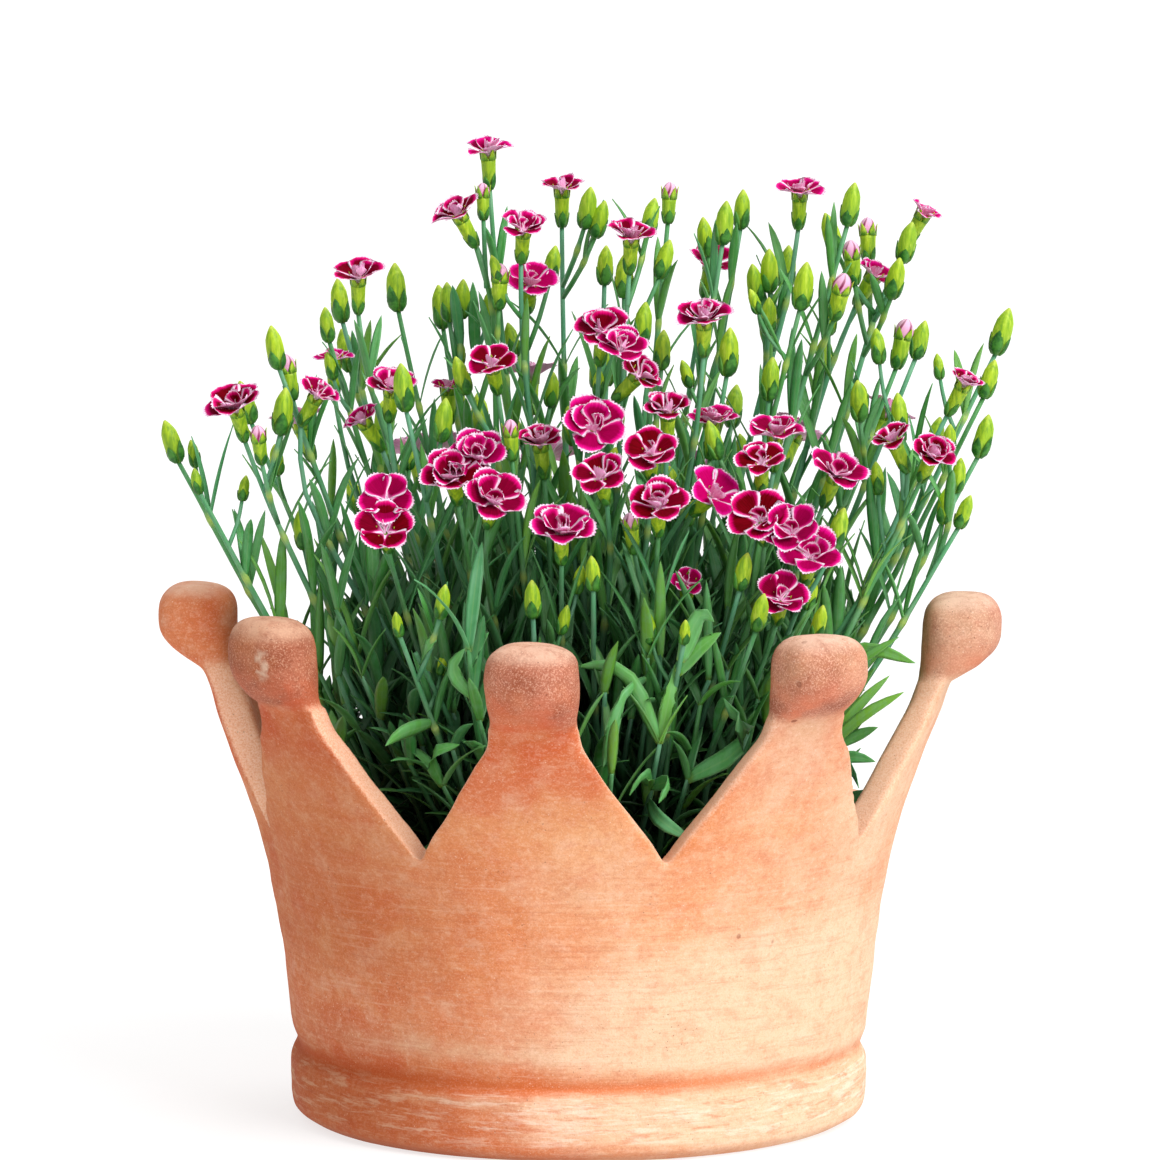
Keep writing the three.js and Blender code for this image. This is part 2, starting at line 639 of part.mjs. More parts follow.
// Adds a leaf at a foot, on the first bearing that is free, if there is one.
function growLeaf(leaves, foot, firstAngle, size, clump, heads, shoots) {
  const lean = radians(size.lean);
  for (let attempt = 0; attempt < LEAF_BEARINGS; attempt += 1) {
    const angle = firstAngle + (attempt * 2 * Math.PI) / LEAF_BEARINGS;
    const heading = new THREE.Vector3(
      Math.sin(lean) * Math.cos(angle),
      Math.sin(lean) * Math.sin(angle),
      Math.cos(lean),
    );
    const made = leaf(foot, heading, size);
    const early = foot.clone().lerp(made.middle, 0.55);
    const points = [early, made.middle, made.middle.clone().lerp(made.tip, 0.5), made.tip];
    if (!leafFits(points, clump, heads, shoots, leaves)) continue;
    leaves.push({ geometry: made.geometry, points });
    return;
  }
}

// The dense foot of a clump: a stub set in the soil, under a low tuft of crowded shoots.
function core(clump) {
  const middle = CENTRES[clump];
  const at = (rise, radius, sides) => {
    const wide = spread(SOIL_TOP + rise);
    return station(new THREE.Vector3(middle.x * wide, middle.y * wide, SOIL_TOP + rise), radius, sides);
  };
  const foot = at(0, ROOT_STUB.radius, ROOT_STUB.sides);
  const sunk = { ...foot, point: foot.point.clone().setZ(SOIL_TOP - ROOT_STUB.depth) };
  const raised = { ...foot, point: foot.point.clone().setZ(SOIL_TOP + ROOT_STUB.rise) };
  const tuft = [
    at(CORE.foot, CORE.radius * CORE.taper, CORE.sides),
    at(CORE.wide, CORE.radius, CORE.sides),
    at(CORE.top, CORE.radius * CORE.taper, CORE.sides),
  ];
  return [taperedTube([sunk, raised]), taperedTube(tuft)];
}

function clumpGeometry(clump, heads) {
  const random = makeRandom(SEED + 100 * clump);
  const own = heads.filter((head) => head.clump === clump);
  const parts = core(clump);
  const shoots = [];
  own.forEach((head) => {
    const foot = head.kind === "bud" ? branchFoot(head, shoots) : null;
    const green = greenHead(head, foot ?? shootAt(ray(head.centre), clump, head.centre.z - 50));
    if (foot) {
      parts.push(taperedTube([station(foot, STEM_RADIUS, STEM_SIDES), ...green]));
      return;
    }
    const top = green[0].point;
    const place = ray(top);
    const stem = stemHeights(top.z).map((height) => (
      station(shootAt(place, clump, height), STEM_RADIUS * 1.1, STEM_SIDES)
    ));
    parts.push(taperedTube([...stem, ...green]));
    shoots.push({ place, top: top.z, points: [...stem.map((ring) => ring.point), top] });
  });
  const leaves = [];
  shoots.forEach((shoot) => stemLeaves(leaves, shoot, clump, heads, shoots, random));
  tuftLeaves(leaves, clump, heads, shoots, random);
  parts.push(...leaves.map((made) => made.geometry));
  const solids = parts.map(toSolid);
  return outerSurface(toGeometry(joined(solids).simplify(SMALLEST_FACET)));
}

// The point where a bud branches from the nearest stem, if one is near enough.
function branchFoot(head, shoots) {
  let best = null;
  shoots.forEach((shoot) => {
    const height = head.centre.z - BRANCH.below;
    if (height > shoot.top - BRANCH.clear) return;
    const foot = stemPoint(shoot, height);
    const apart = Math.hypot(foot.x - head.centre.x, foot.y - head.centre.y);
    if (apart < BRANCH.reach && (!best || apart < best.apart)) best = { foot, apart };
  });
  return best ? best.foot : null;
}

// The middle of a shoot's own stem at a height.
function stemPoint(shoot, height) {
  const above = shoot.points.findIndex((point) => point.z >= height);
  const low = shoot.points[above - 1];
  const high = shoot.points[above];
  return low.clone().lerp(high, (height - low.z) / (high.z - low.z));
}

function stemLeaves(leaves, shoot, clump, heads, shoots, random) {
  const count = shoot.top > 300 ? 2 : 1;
  for (let k = 0; k < count; k += 1) {
    const share = (k + 0.55 + 0.3 * random()) / (count + 0.75);
    const start = SOIL_TOP + 25;
    const foot = stemPoint(shoot, start + (shoot.top - start) * share);
    const size = {
      length: STEM_LEAF.length - STEM_LEAF.shorter * share + STEM_LEAF.longer * random(),
      width: STEM_LEAF.width - share,
      lean: STEM_LEAF.lean + STEM_LEAF.leanMore * random(),
      droop: STEM_LEAF.droop + STEM_LEAF.droopMore * random(),
      bends: false,
    };
    growLeaf(leaves, foot, random() * 2 * Math.PI, size, clump, heads, shoots);
  }
}

function tuftLeaves(leaves, clump, heads, shoots, random) {
  const middle = CENTRES[clump];
  for (let k = 0; k < TUFT_LEAVES; k += 1) {
    const height = SOIL_TOP + 14 + 14 * random();
    const angle = 2.4 * k;
    const out = CORE.radius * 0.7;
    const foot = new THREE.Vector3(
      middle.x * spread(height) + out * Math.cos(angle),
      middle.y * spread(height) + out * Math.sin(angle),
      height,
    );
    const size = {
      length: TUFT_LEAF.length + TUFT_LEAF.longer * random(),
      width: TUFT_LEAF.width,
      lean: TUFT_LEAF.lean + TUFT_LEAF.leanMore * random(),
      droop: TUFT_LEAF.droop + TUFT_LEAF.droopMore * random(),
      bends: true,
    };
    growLeaf(leaves, foot, angle, size, clump, heads, shoots);
  }
}

// ---------------------------------------------------------------- soil

function soil() {
  const profile = [
    [0, FLOOR_TOP + SOIL_GAP], [97.5, FLOOR_TOP + SOIL_GAP], [108, 40.2],
    [119.3, SOIL_TOP + SOIL_CROWN.edge],
    [SOIL_CROWN.radius, SOIL_TOP + SOIL_CROWN.rise],
    [0, SOIL_TOP + SOIL_CROWN.rise],
  ];
  let solid = toSolid(lathe(profile, PLANTER_SIDES));
  const turn = radians(PLANT_TURN);
  const wide = ROOT_STUB.radius + SOIL_GAP * 1.3;
  CENTRES.forEach((middle) => {
    const x = middle.x * spread(SOIL_TOP);
    const y = middle.y * spread(SOIL_TOP);
    const hole = [SOIL_TOP - ROOT_STUB.depth - SOIL_GAP, SOIL_TOP + CORE.foot].map((height) => (
      station(new THREE.Vector3(x, y, height), wide, ROOT_STUB.sides)
    ));
    solid = solid.subtract(toSolid(taperedTube(hole).rotateZ(turn)));
  });
  return toGeometry(solid);
}

// ---------------------------------------------------------------- the whole object

const terracotta = material(0xd98a5c, 0.85);
const earth = material(0x2b1d14, 0.95);
const foliage = material(0x4f8a3a, 0.6);
const petal = material(0xb3156a, 0.65);

const object = new THREE.Group();
object.add(named("crown_planter", crownPlanter(), terracotta));
object.add(named("soil", soil(), earth));

const plant = new THREE.Group();
plant.rotation.z = radians(PLANT_TURN);
object.add(plant);

const heads = makeHeads();
spreadHeads(heads);
heads.forEach((head) => {
  head.clump = clumpOf(head.centre);
});
CENTRES.forEach((_, clump) => {
  plant.add(named(`clump_${clump}`, clumpGeometry(clump, heads), foliage));
});
const bloomRandom = makeRandom(SEED);
heads.filter((head) => head.kind === "bloom").forEach((head, k) => {
  plant.add(named(`bloom_${String(k).padStart(2, "0")}`, bloomGeometry(head, bloomRandom), petal));
});

export default object;
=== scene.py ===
"""The dianthus in its terracotta crown planter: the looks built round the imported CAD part."""

import functools
import math

import bmesh
import bpy
import numpy as np
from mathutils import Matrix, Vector


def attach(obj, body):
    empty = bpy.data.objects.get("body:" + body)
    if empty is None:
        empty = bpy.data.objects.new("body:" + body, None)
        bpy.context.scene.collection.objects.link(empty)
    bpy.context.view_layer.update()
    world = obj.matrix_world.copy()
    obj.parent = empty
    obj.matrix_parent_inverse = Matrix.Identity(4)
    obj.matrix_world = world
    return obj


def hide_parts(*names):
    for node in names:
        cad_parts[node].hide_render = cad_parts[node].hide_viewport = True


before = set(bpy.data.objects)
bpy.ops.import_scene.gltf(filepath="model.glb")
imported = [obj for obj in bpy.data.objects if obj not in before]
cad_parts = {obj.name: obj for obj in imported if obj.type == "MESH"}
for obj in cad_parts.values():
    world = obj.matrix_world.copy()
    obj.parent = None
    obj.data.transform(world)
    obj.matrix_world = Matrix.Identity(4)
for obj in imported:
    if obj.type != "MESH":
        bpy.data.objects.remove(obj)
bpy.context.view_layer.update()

MM = 0.001  # everything below is worked out in millimetres, in the CAD's own frame
TURN = 2 * math.pi
SEED = 20

# ---------------------------------------------------------------- the planter's dimensions

OUTER_WALL = [
    (113, 0), (119.6, 4), (121, 19), (120.8, 26), (118, 31.5), (120.9, 38),
    (127.3, 91), (134.8, 125), (158, 189),
]
INNER_WALL = [(144.5, 189), (121.8, 125), (108.5, 40), (98, 13)]
FLOOR = {"top": 13, "inner": 40}
WALL_SIDES = 144
POINT_BEARINGS = [0, 45, 90, 157.5, 202.5, 270, 315]
POINT_SPACING = 45
VALLEY_HEIGHT = 127.5
NECK_HEIGHT = 186
NECK_WIDTH = 35
NECK_RADIUS = 150
CUTTER = {"top": 260, "near": -70, "far": -210, "inset": 2, "below": 5, "above": 3}
KNOB = {"width": 40, "inner": 145, "outer": 178, "widest": 208.5, "top": 224}
KNOB_FOOT = {"width": 35, "inner": 144, "outer": 157.6, "height": 187.5}
KNOB_SWELL = {"outer": 2.2, "width": 1.5}
KNOB_SQUARENESS = {"plan": 2.6, "dome": 3}
KNOB_SIDES, KNOB_LEVELS = 48, 16
KNOB_UNEVEN = {0: (2.0, 1.0), 315: (2.6, 0.93), 270: (-1.5, 0.98)}  # how far each is raised, and its size
DRAIN_HOLES = {"count": 3, "radius": 6, "ring": 45, "first": 30, "sides": 24, "bottom": -20, "top": 30}
VOXEL = 1.05
EDGE_SOFTENING = {"factor": 0.5, "iterations": 14}
PLANTER_TRIANGLES = 112000
FLANK_SMOOTHING = 18
NECK_SMOOTHING = 50
NECK_ROUNDING = 20  # the first steps round the necks off across as well

# Where things lie on the planter: each fades in from the first number to the second, and out from the third
# to the fourth. Heights are in mm, and bearings in degrees, anticlockwise from the front.
HEIGHTS = {
    "flanks": (136, 146, 182, 190), "necks": (172, 182, 192, 204), "seam": (60, 75, 120, 150),
    "chalky": (36, 50, 62, 105), "foot": (2, 12, 27, 33), "flushed": (140, 184, 196, 212),
}
BEARINGS = {
    "right": (-35, 75, 120, 179), "middle": (-52, -12, 130, 180), "front": (-30, -8, 12, 32),
    "left": (-179, -120, -42, 2), "far_left": (-140, -115, -80, -62),
}
BANDS = {"groove": (31.8, 3.7), "ledge": (25.0, 2.4), "chalk_line": (45, 7)}  # middle and half width
SEAM = {"bearing": 41.5, "width": 0.5}
SMOOTH_KNOB = {"bearing": 270, "grit": 0.1}  # the one on the left at the back has little grit
SCUFFED_KNOB = 315
# Painted shade: how strongly the left side of the wall is darkened at each height, in mm.
SHADE_HEIGHTS = (0, 34, 42, 62, 84, 140, 200)
SHADE = (0.6, 0.75, 0.3, 0.15, 0.45, 0.5, 0.4)

# ---------------------------------------------------------------- the plant's dimensions

SOIL_TOP = 114
SOIL = {"sides": 160, "rings": 44, "bottom": 100, "edge": 119, "hole": 2}
PLANT_TURN = math.radians(6.9)
FAN_AT_SOIL = 0.46
FAN_RISE = 0.0031
CLUMP_RING = 116
CLUMPS_ROUND = 6
DRAWN_IN = {"share": 0.44, "height": 105}
CALYX = {"length": 14, "radius": 3.1}
OPENING_CALYX = {"length": 12.5, "radius": 3.35, "petals": 9.0}
BUD = {"length": 19, "width": 7.6}
BRANCH = {"below": 36, "clear": 12, "reach": 24, "bare": 50}
FALL_BACK = 0.157
CROWDING = {"rounds": 80, "level": 13, "stem": 4}
TWIN = {"width": 0.92, "rise": 0.8, "reach": 5, "tone": 0.35}
SPOT_ROOM = {"bloom": 3, "bud": 1}
TUFTS = {"shoots": 18, "tries": 400, "reach": 160, "tallest": 250, "shortest": 165, "lower_out": 26}
SKIRT_SHOOTS = 15
ROOM = {"leaf": 2.0, "tuft": 4, "skirt": 5, "side_bud": 5}  # from the wall or the heads, in mm
PLANT_LIMITS = {"top": 408, "side": 168}

# Blooms: across, depth, height, width, tilt, bearing of the tilt, and a twin's place across and up.
BLOOMS = [
    (-38, 10, 407, 21, 8, -20), (-50, -9, 383, 24, 30, -60), (-23, -18, 378, 22, 22, 10),
    (-7, 40, 387, 21, 5, 0), (22, -30, 376, 24, 18, 10), (56, 45, 355, 23, 22, 30),
    (93, 30, 387, 22, 12, 10), (145, 30, 378, 16, 30, 75), (124, 30, 352, 18, 32, 60),
    (52, -50, 344, 26, 18, 0), (10, -50, 339, 26, 28, 10, 8, -12), (25, -56, 322, 22, 45, 65),
    (-20, 5, 352, 24, 33, 10), (-36, -53, 326, 22, 35, -15), (-92, -26, 359, 24, 15, 0),
    (-103, 30, 316, 18, 5, -10), (-143, -39, 306, 28, 26, -30), (-109, -39, 311, 20, 35, 50),
    (-78, -44, 315, 24, 24, 10), (-90, -24, 298, 18, 35, -60), (-55, 30, 304, 15, 7, -20),
    (-52, -81, 283, 29, 40, -10, 11, 9), (-35, -102, 276, 29, 42, 15), (-80, -92, 262, 27, 52, -5, 1, 14),
    (-16, -67, 295, 22, 18, -20), (6, -71, 302, 30, 50, 10), (9, -94, 285, 25, 40, -15),
    (30, -95, 295, 26, 40, 0), (37, -65, 308, 23, 20, 0), (56, -41, 300, 24, 12, 20),
    (33, -90, 272, 28, 35, 0), (56, -85, 276, 27, 55, 40), (76, -73, 288, 23, 28, 0),
    (82, -49, 296, 26, 15, 10), (75, -88, 266, 29, 45, -10, 13, -9), (107, -67, 282, 28, 30, 40),
    (96, -91, 251, 28, 40, 10), (84, -95, 234, 25, 43, 10), (131, -51, 294, 20, 28, -55),
    (147, -53, 288, 22, 40, 25), (161, -26, 314, 17, 30, 60), (-7, -100, 263, 31, 30, 0),
    (45, -71, 237, 15, 50, 0), (-118, 62, 284, 26, 24, -125), (-70, 96, 266, 28, 28, -150, 12, 8),
    (-14, 116, 262, 27, 40, 175), (38, 112, 254, 28, 40, 160, 12, -8), (92, 84, 276, 27, 30, 135),
    (130, 40, 292, 24, 26, 110), (-20, 66, 304, 25, 12, 180, -13, 5),
]

# How each bloom looks: from crimson 0 to magenta 1, its petals in the second ring, and its upright ones.
BLOOM_LOOKS = [
    (0.6, 2, 1), (0.1, 2, 2), (0.3, 3, 1), (0.2, 1, 1), (0.1, 2, 1), (0.3, 1, 0), (0.6, 2, 1), (0.9, 1, 1),
    (0.7, 2, 1), (0.2, 4, 2), (0.1, 3, 1), (0.0, 2, 1), (0.7, 1, 2), (0.0, 0, 1), (0.1, 1, 2), (0.9, 1, 1),
    (0.0, 3, 1), (0.4, 1, 1), (0.3, 3, 1), (0.4, 1, 1), (0.5, 0, 1), (0.1, 4, 2), (0.2, 2, 1), (0.0, 0, 0),
    (0.1, 4, 2), (0.5, 2, 2), (0.0, 1, 1), (0.0, 1, 1), (0.0, 3, 1), (0.4, 2, 2), (0.1, 2, 2), (1.0, 0, 2),
    (0.0, 1, 1), (0.3, 1, 2), (0.0, 1, 1), (0.3, 2, 1), (0.6, 2, 1), (0.3, 1, 1), (0.0, 2, 1), (0.0, 4, 2),
    (0.1, 2, 1), (0.4, 3, 2), (0.5, 0, 1), (0.2, 2, 1), (0.1, 3, 1), (0.4, 2, 1), (0.1, 2, 1), (0.3, 3, 1),
    (0.2, 1, 1), (0.3, 2, 1),
]

# Buds: across, depth, height of the middle, and size beside a full one.
BUDS = [
    (-171, 10, 285, 1), (-160, -30, 274, 0.6), (-127, -26, 330, 1), (-106, 20, 333, 0.8),
    (-101, 37, 341, 1), (-77, 20, 349, 1.1), (-123, -40, 305, 1.1), (-73, -46, 316, 1.1),
    (-55, 25, 342, 0.9), (-37, 25, 340, 1), (-49, -46, 321, 0.9), (-56, -57, 304, 1),
    (-11, 15, 359, 0.9), (4, 25, 382, 1), (30, -6, 382, 0.9),
    (-40, -3, 388, 0.8), (38, 30, 383, 0.9), (61, -7, 380, 1), (69, 35, 380, 0.9),
    (36, -17, 366, 0.9), (35, -40, 331, 0.9), (63, -38, 330, 1.1), (74, 20, 351, 0.9),
    (88, 45, 354, 1), (80, 10, 338, 0.9), (94, -19, 355, 1.1), (106, 25, 371, 1),
    (114, -1, 387, 1), (122, 45, 365, 1), (138, 20, 368, 1), (109, -20, 350, 1.1),
    (136, 30, 323, 1.1), (178, 15, 331, 1.1), (172, -8, 314, 0.9), (170, -16, 291, 1),
    (161, -35, 262, 0.8), (108, -71, 260, 1), (-75, -108, 226, 0.6), (-19, -111, 237, 0.9),
    (44, -116, 224, 0.6), (68, -94, 246, 0.9), (22, -91, 261, 0.9),
    (-133, -43, 291, 0.9), (-140, 22, 300, 1), (-98, 50, 318, 1), (-96, 92, 250, 0.8),
    (-42, 110, 282, 1), (12, 92, 306, 1), (66, 92, 288, 1), (104, 56, 314, 1),
    (150, 18, 286, 0.9), (-58, 40, 338, 1), (64, 118, 244, 0.8),
]
OPENING_BUDS = {15, 16, 28, 30, 31, 41, 42}

# Smaller heads that only the scene shows: as above, and whether the petals are showing.
MORE_BUDS = [
    (-82, 10, 293, 1, 0), (-49, 20, 344, 0.9, 0), (-11, 10, 307, 0.8, 0), (9, 25, 377, 0.9, 0),
    (53, 30, 369, 0.9, 0), (11, 15, 359, 0.9, 0), (19, -10, 358, 1, 0), (27, -20, 339, 1, 0),
    (80, 20, 356, 1, 0), (80, -20, 316, 1, 0), (133, 10, 354, 1, 0), (143, -10, 331, 0.9, 0),
    (159, -20, 275, 0.8, 0), (117, -30, 308, 1, 0), (134, -30, 303, 0.9, 0), (-116, -20, 252, 0.9, 0),
    (-56, -112, 236, 0.8, 0), (6, -112, 248, 0.8, 0), (75, -108, 231, 0.9, 0), (100, -90, 224, 0.8, 0),
    (56, -60, 296, 0.9, 0), (-3, -20, 296, 0.9, 0), (115, 20, 359, 1, 1), (-33, -10, 353, 1, 1),
    (-121, -20, 316, 1, 1), (-28, -70, 297, 0.9, 1),
]

# Leaves that are seen one by one round the points of the crown: foot, middle, tip, width and freshness.
SINGLE_LEAVES = [
    ((31, -104, 181), (18, -106, 205), (-1, -96, 206), 7, 0.35),
    ((31, -104, 181), (38, -106, 197), (40, -104, 208), 6, 0.5),
    ((30, -104, 197), (19, -112, 195), (10, -114, 166), 7, 0.25),
    ((33, -106, 150), (27, -112, 162), (21, -116, 155), 7, 0.15),
    ((33, -106, 148), (38, -112, 159), (33, -118, 152), 6.5, 0.15),
    ((26, -100, 143), (35, -112, 143), (47, -116, 136), 6.5, 0.1),
    ((57, -96, 161), (69, -104, 176), (60, -104, 194), 9, 0.15),
    ((44, -104, 206), (50, -108, 215), (59, -108, 222), 7, 0.4),
    ((44, -104, 214), (51, -108, 230), (56, -112, 227), 7.5, 0.35),
    ((-68, -100, 170), (-74, -108, 179), (-80, -112, 175), 7.5, 0.3),
    ((-59, -100, 207), (-62, -106, 216), (-58, -106, 222), 6, 0.35),
    ((-55, -100, 196), (-52, -106, 206), (-47, -106, 215), 6, 0.3),
    ((-65, -98, 157), (-60, -104, 170), (-49, -108, 175), 6.5, 0.2),
    ((-41, -98, 202), (-43, -106, 215), (-37, -108, 222), 6.5, 0.2),
    # The leaves in the right notch: their high freshness is partly young yellow-green, partly painted light
    # shining through them.
    ((97, -34, 192), (121, -40, 204), (141, -46, 199), 6.5, 0.6),
    ((104, -40, 154), (119, -48, 177), (136, -52, 188), 5.5, 0.9),
    ((106, -38, 160), (119, -44, 183), (130, -46, 194), 4.6, 0.8),
    ((108, -36, 166), (116, -40, 185), (124, -44, 197), 5, 0.7),
    ((105, -36, 160), (116, -46, 168), (125, -52, 173), 5.5, 0.4),
    ((103, -40, 147), (114, -50, 160), (124, -56, 159), 6, 0.2),
    ((109, -36, 182), (122, -42, 202), (134, -44, 210), 4.8, 0.6),
    ((110, -20, 183), (119, -20, 193), (130, -20, 203), 4.6, 0.6),
    ((106, -40, 140), (113, -52, 157), (117, -58, 148), 5.5, 0.0),
    ((98, -24, 140), (110, -34, 163), (121, -40, 176), 5, 0.6),
    ((100, -20, 150), (112, -28, 172), (122, -32, 186), 5, 0.7),
    ((96, -26, 130), (108, -38, 150), (118, -44, 163), 5, 0.3),
    ((98, 0, 118), (110, 2, 130), (120, 4, 137), 10, 0.1),
    ((92, 14, 122), (104, 18, 137), (113, 22, 140), 8, 0.2),
]
# The single leaves' roll and fold, and the share of the painted shade that they take.
SINGLE_LEAF = {"roll": 1.25, "fold": 0.3, "inner_shade": 0.3}


# ---------------------------------------------------------------- how the plant fans out

def spread(height):
    return FAN_AT_SOIL + FAN_RISE * (height - SOIL_TOP)


def ray(point):
    """Where the shoot through a point would stand if the plant didn't fan out."""
    return np.array(point[:2]) / spread(point[2])


def bearing_vector(bearing):
    return np.array((math.sin(math.radians(bearing)), -math.cos(math.radians(bearing)), 0))


RING_STEP = 360 / CLUMPS_ROUND
CENTRES = [
    np.zeros(2),
    *(CLUMP_RING * bearing_vector(RING_STEP * (i + 0.5))[:2] for i in range(CLUMPS_ROUND)),
]


def clump_at(place):
    return int(np.argmin([np.sum((place - centre) ** 2) for centre in CENTRES]))


def shoot_at(place, clump, height):
    rise = min(1.0, max(0.0, (height - SOIL_TOP) / DRAWN_IN["height"]))
    drawn = DRAWN_IN["share"] + (1 - DRAWN_IN["share"]) * rise * (2 - rise)
    middle = CENTRES[clump]
    return np.array((*(spread(height) * (middle + drawn * (np.array(place) - middle))), height))


def bloom_head(x, y, z, width, tilt, bearing, *twin):
    lean = math.radians(tilt)
    return {
        "kind": "bloom", "centre": np.array((x, y, z), float), "twin": twin, "width": width,
        "reach": width / 2 + (TWIN["reach"] if twin else 0),
        "axis": math.sin(lean) * bearing_vector(bearing) + (0, 0, math.cos(lean)),
    }


def bud_head(x, y, z, size, opening):
    return {
        "kind": "bud", "centre": np.array((x, y, z), float), "size": size, "opening": opening,
        "reach": BUD["width"] / 2 * size + 1,
    }


def move_back(head, amount):
    head["centre"][1] += amount
    head["centre"][2] -= FALL_BACK * amount


def spread_heads(heads):
    """Moves heads that crowd each other apart in depth, along the line of sight."""
    for _ in range(CROWDING["rounds"]):
        for i, first in enumerate(heads):
            for second in heads[i + 1:]:
                low, high = sorted((second, first), key=lambda head: head["centre"][2])
                level = high["centre"][2] - low["centre"][2] < CROWDING["level"]
                need = low["reach"] + (high["reach"] if level else CROWDING["stem"])
                shrink = spread(low["centre"][2]) / spread(high["centre"][2])
                across, deep = (low["centre"] - high["centre"] * shrink)[:2]
                if across * across + deep * deep >= need * need:
                    continue
                push = (math.sqrt(max(0, need * need - across * across)) - abs(deep)) * 0.5
                way = -1 if deep < 0 else 1
                move_back(low, way * push)
                move_back(high, -way * push)


# ---------------------------------------------------------------- meshes

def unit(vector):
    return vector / np.linalg.norm(vector, axis=-1, keepdims=True)


def circle(sides):
    return TURN * np.arange(sides) / sides


def turned(points, angle):
    """Points turned about the upright axis."""
    c, s = math.cos(angle), math.sin(angle)
    x, y, z = points.T
    return np.stack([x * c - y * s, x * s + y * c, z], -1)


def smoothstep(value, low, high):
    share = np.clip((value - low) / (high - low), 0, 1)
    return share * share * (3 - 2 * share)


def plateau(value, low, low_full, high_full, high, level=1.0):
    """Rises to the level from low to low_full, and falls from high_full to high."""
    return level * smoothstep(value, low, low_full) * smoothstep(value, high, high_full)


def hump(value, middle, width):
    return np.exp(-(((value - middle) / width) ** 2))


def ripples(points, size, seed, waves=7):
    """A smooth, seeded field of about -1 to 1 over points, with features of about that size."""
    random = np.random.default_rng(seed)
    total = np.zeros(len(points))
    for _ in range(waves):
        direction = unit(random.normal(size=3)) * (TURN / (size * random.uniform(0.7, 1.5)))
        total += np.sin(points @ direction + random.uniform(0, TURN))
    return total / math.sqrt(waves)


@functools.lru_cache(maxsize=None)
def sleeve(rings, sides, capped=True):
    """Quads between rings of vertices, and triangles from two end points that follow the rings."""
    start = np.arange(rings - 1)[:, None] * sides
    k = np.arange(sides)[None, :]
    after = (k + 1) % sides
    quads = np.stack([start + k, start + after, start + sides + after, start + sides + k], -1)
    if not capped:
        return quads.reshape(-1, 4), np.zeros((0, 3), int)
    k, after = k[0], after[0]
    last = (rings - 1) * sides
    low = np.stack([np.full(sides, rings * sides), after, k], -1)
    high = np.stack([np.full(sides, rings * sides + 1), last + k, last + after], -1)
    return quads.reshape(-1, 4), np.concatenate([low, high])


class Soup:
    """Vertices, faces and per-vertex values that are gathered for one piece."""

    def __init__(self, *names):
        self.points, self.quads, self.triangles = [], [], []
        self.values = {name: [] for name in names}
        self.count = 0

    def add(self, points, quads, triangles, **values):
        self.points.append(points)
        self.quads.append(quads + self.count)
        self.triangles.append(triangles + self.count)
        for name, store in self.values.items():
            store.append(np.broadcast_to(np.asarray(values[name], np.float32), (len(points), 3)))
        self.count += len(points)

    def loft(self, rings, low, high, **values):
        """Adds rings, (n, sides, 3), closed by two end points. Values are for each point or constant."""
        self.add(np.concatenate([rings.reshape(-1, 3), [low, high]]), *sleeve(*rings.shape[:2]), **values)

    def make(self, name, finish, angle=PLANT_TURN):
        points, quads, triangles = map(np.concatenate, (self.points, self.quads, self.triangles))
        values = {key: np.concatenate(store) for key, store in self.values.items()}
        return mesh_object(name, turned(points, angle), quads, triangles, finish, values)


def read(items, key, width=1, kind=float):
    """One number or vector of every item of a mesh, as an array."""
    values = np.empty(len(items) * width, kind)
    items.foreach_get(key, values)
    return values.reshape(-1, width) if width > 1 else values


def linked_object(name, mesh):
    obj = bpy.data.objects.new(name, mesh)
    bpy.context.scene.collection.objects.link(obj)
    return obj


def plain_object(name, points, quads, triangles):
    """An object in millimetres, for work on the planter's body."""
    mesh = bpy.data.meshes.new(name)
    mesh.from_pydata([tuple(p) for p in points], [], [tuple(map(int, f)) for f in (*quads, *triangles)])
    mesh.update()
    return linked_object(name, mesh)


def mesh_object(name, points, quads, triangles, finish, values):
    """A finished piece, in metres, with its values for each vertex."""
    mesh = bpy.data.meshes.new(name)
    mesh.vertices.add(len(points))
    mesh.vertices.foreach_set("co", (points * MM).astype(np.float32).ravel())
    corners = np.concatenate([quads.ravel(), triangles.ravel()]).astype(np.int32)
    mesh.loops.add(len(corners))
    mesh.loops.foreach_set("vertex_index", corners)
    starts = np.concatenate([np.arange(quads.size)[::4], quads.size + np.arange(triangles.size)[::3]])
    mesh.polygons.add(len(starts))
    mesh.polygons.foreach_set("loop_start", starts.astype(np.int32))
    for key, value in values.items():
        layer = mesh.attributes.new(key, "FLOAT_VECTOR", "POINT")
        layer.data.foreach_set("vector", np.ascontiguousarray(value, np.float32).ravel())
    mesh.update(calc_edges=True)
    mesh.validate()
    mesh.shade_smooth()
    mesh.materials.append(finish)
    return linked_object(name, mesh)


# ---------------------------------------------------------------- materials

def srgb(red, green, blue):
    linear = [((c / 255 + 0.055) / 1.055) ** 2.4 if c > 10 else c / 255 / 12.92 for c in (red, green, blue)]
    return (*linear, 1.0)


